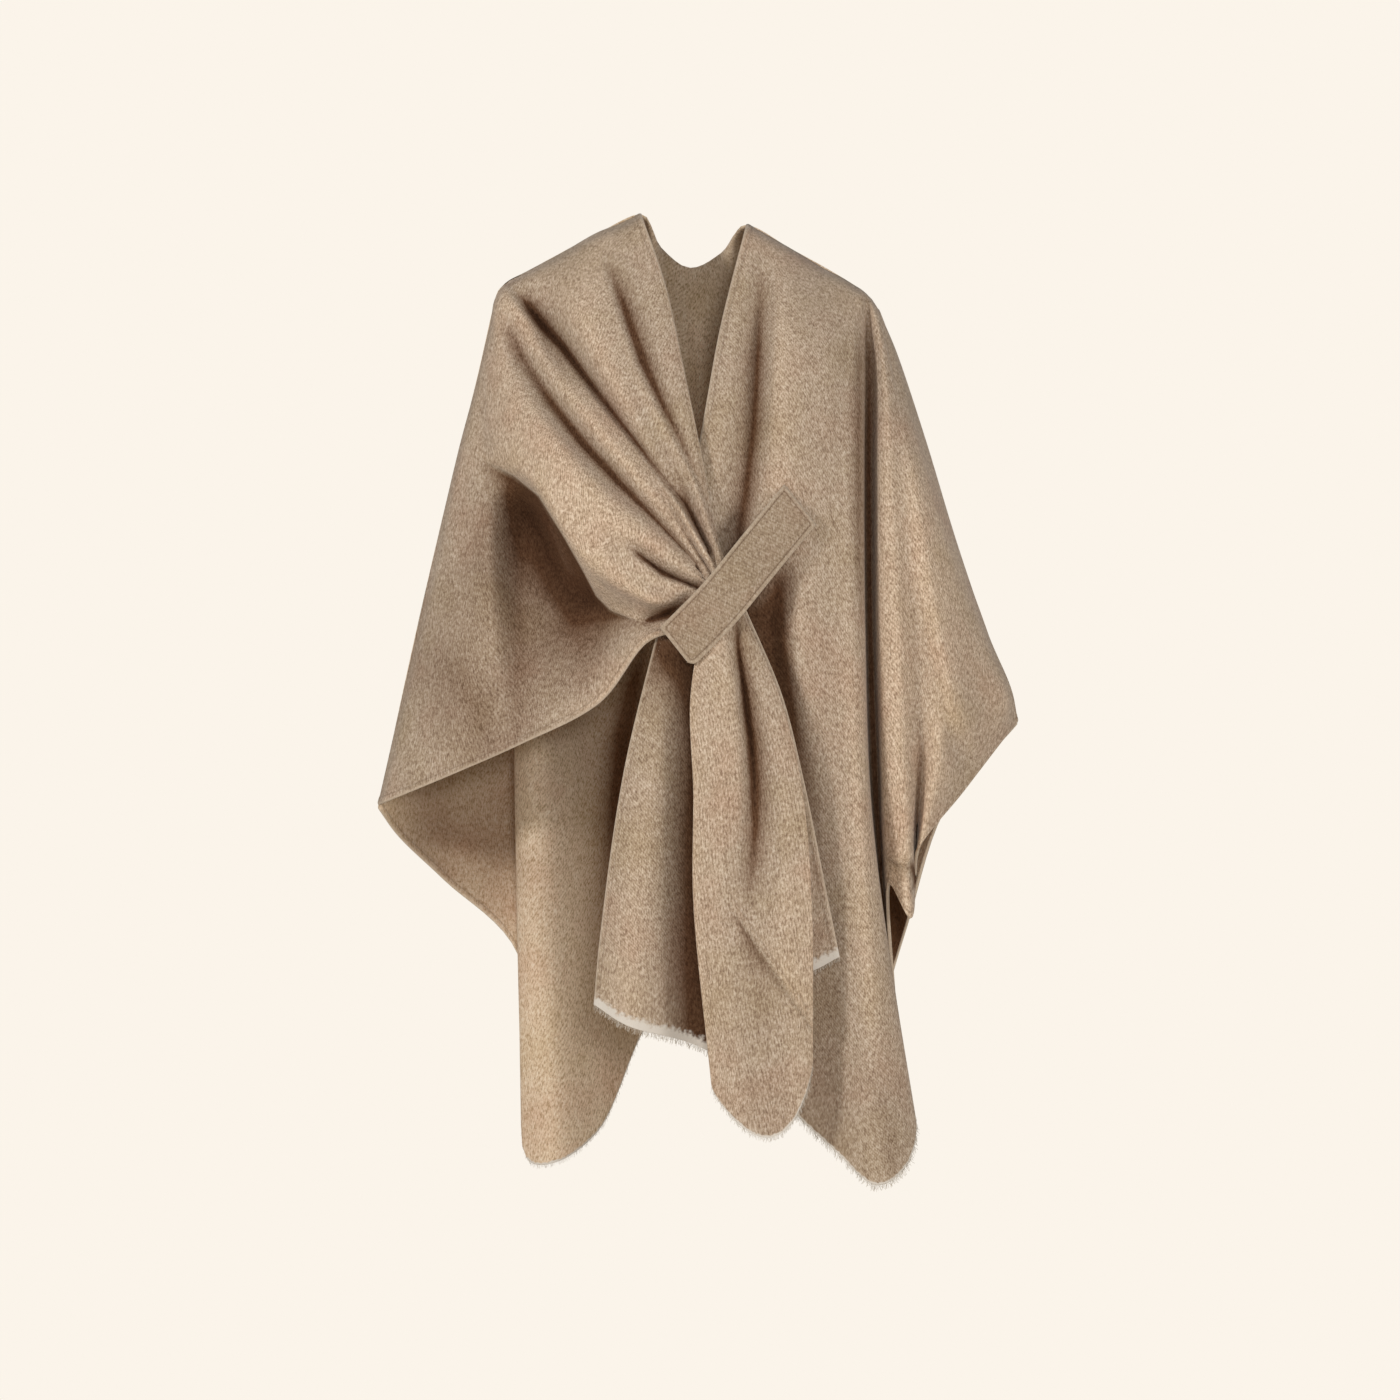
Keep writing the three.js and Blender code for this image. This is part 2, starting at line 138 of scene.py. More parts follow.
# Back panel, from the right arm line round to the left. The lines from the right turn to the right
# column side carry the deep fold that stands forward beside the right hip.
BACK_PANEL = [
    ["right arm line", [-183, -43, 0], [-200, -118, 0], [-227, -226, 0], [-250, -324, 0],
     [-271, -418, 0], [-294, -526, 0]],
    ["right arm roll", [-181, -38, 0], [-193, -122, 32], [-216, -233, 38], [-238, -334, 40],
     [-259, -434, 38], [-275, -553, 30]],
    ["right arm", [-179, -35, 0], [-186, -129, 56], [-199, -243, 68], [-214, -352, 76],
     [-226, -465, 76], [-233, -594, 60]],
    ["right hollow", [-176, -32, 0], [-175, -136, 70], [-174, -254, 86], [-165, -395, 92],
     [-152, -517, 90], [-163, -665, 60]],
    ["right turn", [-170, -27, 0], [-164, -139, 76], [-164, -263, 88], [-165, -414, 70],
     [-165, -517, 46], [-154, -858, 40]],
    ["right column", [-156, -20, 0], [-146, -141, 84], [-145, -273, 90], [-143, -418, 54],
     [-136, -526, 28], [-129, -861, 24]],
    ["right column side", [-130, -6, 0], [-105, -143, 96], [-103, -277, 104], [-100, -423, 86],
     [-90, -531, 58], [-87, -831, 50]],
    ["right recess", [-85, 18, 0], [-58, -143, 104], [-55, -291, 112], [-49, -434, 112],
     [-42, -550, 102], [-39, -731, 96]],
    ["right neck point", [-46, 35, 0], [-36, -137, 102], [-32, -291, 112], [-28, -436, 114],
     [-24, -559, 108], [-21, -727, 103]],
    ["neck right", [-28, 6, 44], [-21, -139, 103], [-18, -293, 113], [-15, -439, 117], [-12, -569, 112],
     [-8, -725, 107]],
    ["centre back", [0, -13, 66], [0, -141, 106], [0, -296, 118], [1, -442, 122], [2, -575, 118],
     [4, -724, 113]],
    ["neck left", [30, 1, 46], [24, -138, 102], [23, -293, 112], [22, -439, 116], [22, -569, 110],
     [24, -724, 105]],
    ["left neck point", [53, 25, 0], [45, -135, 100], [42, -290, 114], [41, -434, 121], [41, -566, 117],
     [43, -726, 112]],
    ["left blade", [94, 3, 0], [81, -139, 102], [79, -287, 112], [79, -432, 114], [81, -569, 106],
     [85, -738, 97]],
    ["left fold", [132, -18, 0], [118, -141, 94], [118, -280, 106], [122, -423, 110], [128, -564, 102],
     [133, -773, 88]],
    ["left side", [158, -34, 0], [149, -137, 80], [156, -268, 90], [164, -414, 92], [167, -555, 78],
     [165, -810, 62]],
    ["left hollow", [167, -41, 0], [169, -130, 64], [184, -249, 74], [196, -385, 76], [197, -508, 66],
     [182, -719, 44]],
    ["left arm", [172, -47, 0], [186, -124, 50], [207, -230, 60], [224, -352, 62], [226, -465, 56],
     [205, -637, 38]],
    ["left arm roll", [175, -51, 0], [194, -118, 32], [223, -214, 36], [253, -329, 38], [261, -423, 34],
     [240, -528, 24]],
    ["left arm line", [178, -56, 0], [196, -101, 0], [222, -180, 0], [254, -285, 0], [284, -369, 0],
     [309, -446, 0]],
]

# Left front panel, from its front edge to the left arm line, with the deep fold below the shoulder.
LEFT_FRONT = [
    ["front edge", [53, 26, 0], [28, -75, -78], [9, -179, -112], [-21, -320, -124], [-62, -491, -125],
     [-84, -644, -122], [-90, -708, -120]],
    ["edge roll", [59, 23, 0], [44, -77, -82], [30, -181, -116], [4, -325, -129], [-33, -494, -135],
     [-53, -653, -135], [-58, -728, -134]],
    ["centre valley", [75, 14, 0], [66, -78, -74], [58, -186, -108], [43, -333, -119], [15, -503, -121],
     [4, -669, -119], [2, -745, -118]],
    ["breast fold", [96, 2, 0], [84, -80, -87], [83, -190, -120], [77, -337, -126], [70, -509, -127],
     [63, -684, -125], [59, -777, -124]],
    ["flat", [124, -15, 0], [122, -89, -80], [124, -197, -111], [125, -340, -120], [128, -515, -124],
     [131, -696, -126], [134, -843, -126]],
    ["column crown", [147, -27, 0], [148, -99, -70], [149, -205, -106], [149, -346, -120],
     [157, -520, -130], [167, -700, -138], [175, -877, -138]],
    ["column edge", [153, -31, 0], [155, -101, -66], [156, -207, -101], [157, -348, -115],
     [164, -522, -124], [180, -696, -130], [200, -862, -128]],
    ["column turn", [160, -35, 0], [161, -103, -54], [161, -209, -92], [162, -350, -104],
     [168, -523, -112], [190, -691, -112], [212, -826, -108]],
    ["fold left", [165, -39, 0], [167, -107, -36], [166, -214, -58], [167, -355, -64], [173, -528, -66],
     [184, -667, -68], [199, -778, -72]],
    ["fold right", [168, -42, 0], [172, -109, -36], [171, -216, -58], [172, -357, -64],
     [178, -522, -66], [184, -611, -66], [192, -705, -68]],
    ["arm lip", [171, -45, 0], [178, -112, -50], [179, -221, -88], [180, -362, -100], [183, -508, -100],
     [186, -564, -96], [188, -596, -92]],
    ["ripple crest", [173, -48, 0], [183, -115, -56], [188, -226, -93], [194, -359, -106],
     [199, -489, -108], [203, -573, -107], [206, -628, -104]],
    ["ripple valley", [175, -51, 0], [188, -117, -52], [201, -227, -86], [210, -350, -93],
     [215, -461, -90], [213, -536, -78], [211, -594, -64]],
    ["arm ridge", [176, -53, 0], [191, -118, -46], [213, -224, -80], [229, -334, -92], [237, -428, -99],
     [227, -504, -99], [215, -562, -96]],
    ["arm valley", [177, -54, 0], [194, -115, -38], [221, -216, -62], [248, -324, -70],
     [264, -400, -72], [268, -449, -66], [256, -510, -62]],
    ["arm roll", [178, -55, 0], [195, -107, -26], [223, -203, -38], [255, -308, -42], [281, -385, -44],
     [296, -425, -38], [292, -464, -28]],
    ["arm line", [178, -56, 0], [194, -94, 0], [221, -175, 0], [252, -277, 0], [282, -364, 0],
     [303, -414, 0], [309, -444, 0]],
]

# Right front panel, from its front edge to its side edge. Every line runs into the band.
RIGHT_FRONT = [
    ["front edge", [-46, 36, 0], [-23, -33, -62], [-4, -122, -108], [13, -205, -134], [27, -277, -147],
     [40, -308, -149]],
    ["edge ridge", [-64, 27, 0], [-39, -47, -76], [-16, -132, -121], [7, -212, -142], [24, -281, -151],
     [39, -311, -152]],
    ["neck valley", [-87, 18, 0], [-73, -52, -68], [-45, -139, -113], [-9, -212, -135],
     [18, -283, -147], [35, -315, -150]],
    ["breast ridge", [-122, -2, 0], [-101, -68, -78], [-62, -147, -125], [-20, -219, -147],
     [14, -286, -153], [32, -318, -153]],
    ["long valley", [-160, -22, 0], [-132, -86, -52], [-82, -151, -104], [-33, -216, -133],
     [10, -289, -145], [29, -321, -149]],
    ["long ridge", [-170, -27, 0], [-144, -96, -64], [-95, -162, -118], [-43, -227, -145],
     [7, -291, -153], [26, -323, -153]],
    ["broad valley", [-177, -33, 0], [-158, -103, -58], [-113, -171, -108], [-56, -233, -138],
     [2, -294, -149], [23, -327, -150]],
    ["upper roll", [-184, -46, 0], [-171, -124, -64], [-131, -180, -122], [-74, -246, -150],
     [-8, -299, -155], [24, -317, -154]],
    ["short valley", [-187, -63, 0], [-178, -146, -64], [-139, -196, -123], [-84, -266, -149],
     [-14, -313, -149], [22, -319, -151]],
    ["roll crest", [-193, -90, 0], [-184, -174, -62], [-146, -215, -119], [-94, -290, -150],
     [-24, -332, -153], [18, -325, -152]],
    ["roll under", [-201, -124, 0], [-187, -200, -52], [-149, -227, -88], [-100, -303, -112],
     [-26, -340, -136], [13, -333, -146]],
    ["below roll", [-217, -184, 0], [-190, -238, -54], [-154, -250, -46], [-108, -322, -56],
     [-40, -351, -124], [6, -343, -141]],
    ["drape", [-239, -278, 0], [-197, -312, -62], [-158, -334, -52], [-106, -360, -64],
     [-44, -358, -122], [1, -350, -140]],
    ["low drape", [-261, -376, 0], [-207, -393, -70], [-160, -410, -66], [-100, -398, -80],
     [-42, -364, -127], [-2, -354, -139]],
    ["side edge", [-294, -522, 0], [-226, -494, -66], [-160, -465, -78], [-85, -426, -92],
     [-38, -368, -129], [-4, -358, -138]],
]

# The same panel below the band, from its front edge, folded in three, to its hidden side edge.
RIGHT_FRONT_TAIL = [
    ["front edge", [51, -335, -137], [86, -418, -136], [106, -496, -136], [128, -604, -137],
     [140, -663, -137]],
    ["under layer", [45, -337, -138], [73, -418, -138], [94, -498, -138], [111, -607, -139],
     [120, -674, -139]],
    ["hidden turn", [39, -341, -141], [58, -419, -143], [73, -500, -143], [81, -609, -143],
     [85, -691, -143]],
    ["middle layer", [44, -339, -145], [70, -419, -148], [91, -501, -149], [100, -611, -149],
     [101, -733, -149]],
    ["left turn", [48, -337, -149], [82, -417, -154], [103, -499, -154], [113, -609, -154],
     [114, -757, -153]],
    ["left ridge", [43, -339, -154], [68, -419, -161], [86, -501, -163], [90, -609, -163],
     [100, -810, -160]],
    ["valley", [35, -345, -152], [49, -420, -148], [56, -503, -152], [55, -606, -157],
     [83, -829, -158]],
    ["inner ridge", [29, -349, -154], [40, -420, -157], [45, -503, -160], [41, -606, -160],
     [66, -831, -158]],
    ["crest", [20, -355, -155], [23, -423, -161], [26, -505, -163], [24, -611, -161], [45, -818, -158]],
    ["right turn", [9, -364, -150], [1, -426, -152], [4, -508, -152], [4, -611, -152],
     [21, -784, -150]],
    ["behind", [15, -360, -144], [11, -426, -144], [17, -508, -144], [17, -611, -144],
     [30, -773, -143]],
    ["side edge", [24, -354, -142], [30, -423, -141], [38, -506, -141], [38, -611, -141],
     [49, -761, -140]],
]


def millimetres(points):
    """Stations written [across, up, depth] as an array of x, y, z."""
    return np.array([[x, y, z] for x, z, y in points], float)


def shoulder_point(top, below):
    """A point just off the seam that keeps the cloth round over the shoulder before it falls."""
    away = below - top
    side = np.sign(away[1])
    reach = SHOULDER_ROUND * min(1.0, abs(away[1]) / (SHOULDER_SLOPE * SHOULDER_ROUND))
    away[1] = 0.0
    away *= SHOULDER_REACH * reach / np.linalg.norm(away)
    away[1] = SHOULDER_DROP * side * reach
    return top + away


def drape_lines(table, from_seam):
    """The lines of a panel as an array [station, line, xyz], with the extra station at the seam."""
    lines = []
    for _, *row in table:
        points = millimetres(row)
        if from_seam:
            top, below = points[0], points[1]
            on_seam = top[1] == 0 and below[1] != 0
            extra = shoulder_point(top, below) if on_seam else top + SHOULDER_REACH * (below - top)
            points = np.insert(points, 1, extra, axis=0)
        lines.append(points)
    return np.swapaxes(np.array(lines), 0, 1)


def smooth_curve(knots, at):
    """Smooth curves through knots [knot, curve, xyz], read at shares of their length from 0 to 1."""
    last = len(knots) - 1
    ends = [2 * knots[:1] - knots[1:2], knots, 2 * knots[-1:] - knots[-2:-1]]
    held = np.concatenate(ends)
    place = np.asarray(at) * last
    span = np.minimum(place.astype(int), last - 1)
    share = (place - span)[:, None, None]
    a, b, c, d = (held[span + k] for k in range(4))
    step_in, step_on, step_out = (
        np.maximum(np.sum((q - p) ** 2, axis=-1, keepdims=True) ** 0.25, 1e-4)
        for p, q in ((a, b), (b, c), (c, d))
    )
    leave = ((b - a) / step_in - (c - a) / (step_in + step_on) + (c - b) / step_on) * step_on
    arrive = ((c - b) / step_on - (d - b) / (step_on + step_out) + (d - c) / step_out) * step_on
    cubic = 2 * b - 2 * c + leave + arrive
    square = -3 * b + 3 * c - 2 * leave - arrive
    return b + leave * share + square * share**2 + cubic * share**3


def steps(knots, cell, fine_first, fine_last):
    """Places along curves through `knots` about one cell apart, closer towards a fine end."""
    gaps = np.linalg.norm(np.diff(knots, axis=0), axis=-1).mean(axis=1)
    places = [0.0]
    for k, gap in enumerate(gaps):
        count = max(2, round(gap / cell))
        first = k == 0 and fine_first
        final = k == len(gaps) - 1 and fine_last
        if first or final:
            count = max(count, EDGE_CELLS)
        share = np.arange(1, count + 1) / count
        if first:
            share = share**EDGE_CROWDING
        if final:
            share = 1 - (1 - share) ** EDGE_CROWDING
        places.extend((k + share) / len(gaps))
    return np.array(places)


def drape(table, cell, from_seam):
    """Grid of points of a panel [row, column, xyz]: rows run down the cloth, columns across it."""
    lines = drape_lines(table, from_seam)
    across = np.swapaxes(lines, 0, 1)
    down = smooth_curve(lines, steps(lines, cell[0], not from_seam, True))
    grid = smooth_curve(np.swapaxes(down, 0, 1), steps(across, cell[1], True, True))
    return np.swapaxes(grid, 0, 1)


def grid_normals(grid):
    """Unit normals of a grid, from each point's neighbours."""
    down = np.empty_like(grid)
    across = np.empty_like(grid)
    down[1:-1] = grid[2:] - grid[:-2]
    down[0], down[-1] = grid[1] - grid[0], grid[-1] - grid[-2]
    across[:, 1:-1] = grid[:, 2:] - grid[:, :-2]
    across[:, 0], across[:, -1] = grid[:, 1] - grid[:, 0], grid[:, -1] - grid[:, -2]
    normal = np.cross(down, across)
    return normal / np.maximum(np.linalg.norm(normal, axis=-1, keepdims=True), 1e-9)


def run_along(grid, axis):
    """Distance along the cloth from the first row (axis 0) or the first column (axis 1), in mm."""
    step = np.linalg.norm(np.diff(grid, axis=axis), axis=-1)
    pad = [(0, 0), (0, 0)]
    pad[axis] = (1, 0)
    return np.cumsum(np.pad(step, pad), axis=axis)


def ease(value, low, high):
    """Smooth rise from 0 at `low` to 1 at `high`."""
    share = np.clip((np.asarray(value, float) - low) / (high - low), 0, 1)
    return share * share * (3 - 2 * share)


def bell(value, width):
    """1 at zero, falling softly to nothing over a few widths."""
    return np.exp(-((value / width) ** 2))


def shell(name, middle, half, normals, uv, marks, side=None):
    """A closed wall about a grid: its two faces, its rims, its cloth map and its marks. With a side
    given, it keeps clear of the shoulder seam on that side."""
    rows, cols = middle.shape[:2]
    faces = [middle + normals * half[..., None], middle - normals * half[..., None]]
    points = np.concatenate([f.reshape(-1, 3) for f in faces])
    if side is not None:
        points[:, 1] = side * np.maximum(side * points[:, 1], SEAM_GAP / 2)
    front, inner = np.arange(2 * rows * cols).reshape(2, rows, cols)
    quads = [
        np.stack([front[:-1, :-1], front[1:, :-1], front[1:, 1:], front[:-1, 1:]], -1),
        np.stack([inner[:-1, :-1], inner[:-1, 1:], inner[1:, 1:], inner[1:, :-1]], -1),
        np.stack([front[:-1, 0], inner[:-1, 0], inner[1:, 0], front[1:, 0]], -1),
        np.stack([front[1:, -1], inner[1:, -1], inner[:-1, -1], front[:-1, -1]], -1),
        np.stack([front[0, 1:], inner[0, 1:], inner[0, :-1], front[0, :-1]], -1),
        np.stack([front[-1, :-1], inner[-1, :-1], inner[-1, 1:], front[-1, 1:]], -1),
    ]
    corners = np.concatenate([q.reshape(-1, 4) for q in quads])
    mesh = bpy.data.meshes.new(name)
    mesh.from_pydata((points * MM).tolist(), [], corners.tolist())
    mesh.polygons.foreach_set("use_smooth", [True] * len(corners))
    flat = np.concatenate([uv.reshape(-1, 2)] * 2) * MM
    layer = mesh.uv_layers.new(name="cloth")
    layer.data.foreach_set("uv", flat[corners.reshape(-1)].astype(np.float32).reshape(-1))
    for mark, (outside, within) in marks.items():
        both = np.concatenate([np.reshape(outside, -1), np.reshape(within, -1)]).astype(np.float32)
        mesh.attributes.new(mark, "FLOAT", "POINT").data.foreach_set("value", both)
    mesh.update()
    piece = link(name, mesh)
    piece["face_count"] = (rows - 1) * (cols - 1)
    return piece


def link(name, mesh):
    """A mesh as an object of the scene."""
    piece = bpy.data.objects.new(name, mesh)
    bpy.context.scene.collection.objects.link(piece)
    return piece


def hem_half(sewn, frayed):
    """Half thickness of the cloth: a rounded rim, a folded and stitched hem, a thin selvedge."""
    hem = HEM_RISE * ease(sewn, *HEM_FOLD)
    groove = GROOVE_DEPTH * bell(sewn - HEM_STITCH, GROOVE_WIDTH)
    rim = 1 - RIM_THIN * bell(sewn, RIM_WIDTH)
    thin = 1 - SELVEDGE_SOFT * ease(frayed, SELVEDGE, 1.0)
    return (CLOTH / 2 + hem - groove) * rim * thin


def blurred(grid, axis, reach):
    """A grid averaged along one axis, mostly over `reach` cells each way, its ends held."""
    weights = np.exp(-0.5 * (np.arange(-2 * reach, 2 * reach + 1) / reach) ** 2)
    weights /= weights.sum()
    pad = [(0, 0)] * grid.ndim
    pad[axis] = (2 * reach, 2 * reach)
    padded = np.pad(grid, pad, mode="edge")
    count = grid.shape[axis]
    return sum(w * np.take(padded, range(k, k + count), axis) for k, w in enumerate(weights))


def below_surroundings(grid, normals, cell):
    """How far each point lies below the cloth near and wide around it; less than 0 on a crest."""
    total = np.zeros(grid.shape[:2])
    for reach, weight in HOLLOW_REACH:
        around = grid
        for axis in (0, 1):
            around = blurred(around, axis, max(1, round(reach / cell[axis])))
        total += weight * np.sum((around - grid) * normals, axis=-1)
    return total


def stray(seed, points, size):
    """Soft unevenness, mostly between -1 and 1, over points in mm, the same on every run."""
    draw = np.random.default_rng(seed)
    total = np.zeros(points.shape[:-1])
    for _ in range(STRAY_WAVES):
        direction = draw.normal(size=3)
        direction /= np.linalg.norm(direction)
        pitch = size * draw.uniform(0.7, 1.6)
        total += np.sin(points @ direction * (2 * math.pi / pitch) + draw.uniform(0, 2 * math.pi))
    return total / STRAY_WAVES ** 0.5 / STRAY_PEAK


def near_path(grid, path):
    """For each point of a grid, seen from the front: its distance to a path, and the path's third
    value there. The distance is positive to the right of the path, going along it, else negative."""
    flat = grid[..., [0, 2]]
    nearest = np.full(grid.shape[:2], np.inf)
    side = np.ones(grid.shape[:2])
    value = np.zeros(grid.shape[:2])
    for (x0, z0, v0), (x1, z1, v1) in zip(path[:-1], path[1:]):
        start, along = np.array([x0, z0]), np.array([x1 - x0, z1 - z0])
        share = np.clip(((flat - start) @ along) / (along @ along), 0, 1)
        off = flat - start - share[..., None] * along
        away = np.linalg.norm(off, axis=-1)
        right = off[..., 0] * along[1] - off[..., 1] * along[0]
        closer = away < nearest
        nearest = np.where(closer, away, nearest)
        side = np.where(closer, np.where(right >= 0, 1.0, -1.0), side)
        value = np.where(closer, v0 + share * (v1 - v0), value)
    return side * nearest, value


def trough(grid, outward, path, width):
    """A soft trough along a path [x, z, depth], with low lips beside it. A minus depth is a ridge."""
    away, depth = near_path(grid, path)
    form = bell(away, width) - TROUGH_LIP * bell(np.abs(away) - 2.1 * width, width)
    return grid - outward * (depth * form)[..., None]


def lapped_fold(grid, outward, path, steep, gentle, turn, where):
    """A fold that laps over its neighbour: along its crest [x, z, depth] the cloth drops steeply to one
    side and comes back slowly. `turn` is 1 where it drops to the right of the path, else -1."""
    away, depth = near_path(grid, path)
    away = away * turn
    drop = ease(away, -0.4 * steep, steep)
    back_up = np.exp(-np.maximum(away - steep, 0) / gentle) * ease(away, 4.5 * gentle, 3.0 * gentle)
    crest = FOLD_LIP * bell(away + 1.3 * steep, 1.5 * steep)
    return grid - outward * (depth * (drop * back_up - crest) * where)[..., None]


def linear(colour):
    """Linear RGBA from an sRGB hex colour."""
    channels = [int(colour[k:k + 2], 16) / 255 for k in (1, 3, 5)]
    return [c / 12.92 if c <= 0.04045 else ((c + 0.055) / 1.055) ** 2.4 for c in channels] + [1.0]


def add_node(tree, kind, values=None, output=0):
    """Adds one node and gives back one of its outputs. A plain value goes to the node's own field or
    to an input, by name or number; the output of another node is linked to that input."""
    node = tree.nodes.new(kind)
    for name, value in (values or {}).items():
        if isinstance(value, bpy.types.NodeSocket):
            tree.links.new(value, node.inputs[name])
        elif isinstance(name, str) and hasattr(node, name):
            setattr(node, name, value)
        else:
            node.inputs[name].default_value = value
    return node.outputs[output] if node.outputs else None


# Sizes of the weave, in metres. The real twill has a line every 2 mm or so; it is drawn at 3 mm,
# with yarn specks of 2 to 4 mm, because finer ones don't show at the size it is rendered.
TWILL_PITCH = 0.0030
YARN_SPECK = 0.0018
YARN_SLUB = 0.0036
CLOUD = 0.075
YARN_UNEVEN = 0.0012
WAVE_TURNS = 20 / (2 * math.pi)
# Shares of slub and rib in the grain, its mean, and how far from it the lightest and darkest lie
SLUB_SHARE = 0.45
RIB_SHARE = 0.10
GRAIN_MEAN = 0.725 + 0.5 * RIB_SHARE
GRAIN_SPREAD = 0.21
# The inner line of a selvedge wanders by this many mm, over noise of this scale
RAGGED_BY, RAGGED_SCALE = 16.0, 260.0
# How much paler the colour is painted on a crest, as a painted highlight: red, green, blue
PAINTED_CREST_HIGHLIGHT = [1.29, 1.27, 1.24, 1.0]


def empty_material(name):
    """A new material with nothing in its tree yet."""
    material = bpy.data.materials.new(name)
    material.use_nodes = True
    material.node_tree.nodes.clear()
    return material, material.node_tree


def wool_twill(name, light, middle, dark, lean=1, turn=0.0, streak=0,
               rim_share=0.75, rim_reach=3.0, groove_share=0.30, roughness=0.93):
    """Brushed wool-blend twill, woven from mixed yarns and raised: light and dark specks under a
    short nap, faint slanting ribs, soft to the light and a little pale where it turns away."""
    material, tree = empty_material(name)
    cloth = add_node(tree, "ShaderNodeUVMap", {"uv_map": "cloth"})
    place = add_node(tree, "ShaderNodeTexCoord", output="Object")
    slant = add_node(
        tree, "ShaderNodeMapping", {"Rotation": (0, 0, math.radians(turn + 45 * lean)), "Vector": cloth})
    rib = add_node(tree, "ShaderNodeTexWave", {
        "Scale": 1 / (WAVE_TURNS * TWILL_PITCH), "Distortion": 5.0, "Detail": 3.0,
        "Detail Scale": 2.2, "Detail Roughness": 0.7, "Vector": slant}, "Fac")
    combed = add_node(tree, "ShaderNodeMapping", {
        "Rotation": (0, math.radians(streak), 0), "Scale": (1.5, 1.0, 0.5), "Vector": place})
    speck, slub, cloud = (
        add_node(tree, "ShaderNodeTexNoise", {
            "Scale": 1 / size, "Detail": detail, "Roughness": rough, "Vector": at}, "Fac")
        for size, detail, rough, at in (
            (YARN_SPECK, 3.0, 0.66, combed), (YARN_SLUB, 2.0, 0.6, place), (CLOUD, 4.0, 0.6, place)))
    grain = speck
    for part, share in ((slub, SLUB_SHARE), (rib, RIB_SHARE)):
        grain = add_node(
            tree, "ShaderNodeMath", {"operation": "MULTIPLY_ADD", 0: part, 1: share, 2: grain})
    tone = add_node(tree, "ShaderNodeValToRGB", {"Fac": grain})
    stops = tone.node.color_ramp.elements
    stops[0].position, stops[0].color = GRAIN_MEAN - GRAIN_SPREAD, linear(dark)
    stops[1].position, stops[1].color = GRAIN_MEAN + GRAIN_SPREAD, linear(light)
    stops.new(GRAIN_MEAN).color = linear(middle)
    # The hollow mark carries painted shade for hollows and painted highlights for crests
    hollow, sewn, frayed = (
        add_node(tree, "ShaderNodeAttribute", {"attribute_name": mark}, "Fac")
        for mark in ("hollow", "sewn", "frayed"))
    off_groove = add_node(tree, "ShaderNodeMath", {"operation": "SUBTRACT", 0: sewn, 1: HEM_STITCH})
    off_groove = add_node(tree, "ShaderNodeMath", {"operation": "ABSOLUTE", 0: off_groove})
    ragged = add_node(
        tree, "ShaderNodeTexNoise", {"Scale": RAGGED_SCALE, "Detail": 2.0, "Vector": place}, "Fac")
    ragged = add_node(
        tree, "ShaderNodeMath", {"operation": "MULTIPLY_ADD", 0: ragged, 1: RAGGED_BY, 2: frayed})
    # Each change of tone: what it follows, from where to where it grows, its full share, how it is
    # laid over the cloth and its colour
    for follows, start, full, share, growth, blend, colour in (
            # Wide, faint patches where the mixed yarns lean to rose or to olive
            (cloud, 0.50, 0.68, 0.38, "LINEAR", "MULTIPLY", linear("#E6CDC3")),
            (cloud, 0.50, 0.32, 0.38, "LINEAR", "MULTIPLY", linear("#DDD6BC")),
            # Painted shade deep in a fold, greyer where it is deepest; painted highlight on a crest
            (hollow, 0.6, 13.0, 0.95, "LINEAR", "MULTIPLY", linear("#8E6F58")),
            (hollow, 9.0, 26.0, 0.9, "LINEAR", "MULTIPLY", linear("#8C7E72")),
            (hollow, -0.5, -14.0, 1.0, "LINEAR", "MULTIPLY", PAINTED_CREST_HIGHLIGHT),
            # A sewn edge is paler on its rim, with painted shade in the stitch groove
            (sewn, rim_reach, 0.0, rim_share, "LINEAR", "MIX", linear("#DCCBB5")),
            (off_groove, 1.3, 0.2, groove_share, "LINEAR", "MIX", linear("#6E5542")),
            # A frayed selvedge is undyed cream yarn, uneven along its inner line
            (ragged, SELVEDGE + 8.0, SELVEDGE + 1.0, 1.0, "SMOOTHSTEP", "MIX", linear("#E9E1D6"))):
        amount = add_node(tree, "ShaderNodeMapRange", {
            "interpolation_type": growth, "From Min": start, "From Max": full, "To Max": share,
            "Value": follows})
        tone = add_node(tree, "ShaderNodeMix", {
            "data_type": "RGBA", "blend_type": blend, 0: amount, 6: tone, 7: colour}, 2)
    # The sheen fades out where the painted fold shade lies, so steep faces in it stay dark
    fuzz = add_node(
        tree, "ShaderNodeMapRange", {"From Max": 7.0, "To Min": 0.2, "To Max": 0.0, "Value": hollow})
    relief = add_node(tree, "ShaderNodeBump", {"Strength": 0.5, "Distance": 0.0006, "Height": grain})
    shader = add_node(tree, "ShaderNodeBsdfPrincipled", {
        "Roughness": roughness, "Sheen Roughness": 0.5, "Specular IOR Level": 0.15,
        "Base Color": tone, "Normal": relief, "Sheen Weight": fuzz})
    add_node(tree, "ShaderNodeOutputMaterial", {"Surface": shader})
    return material


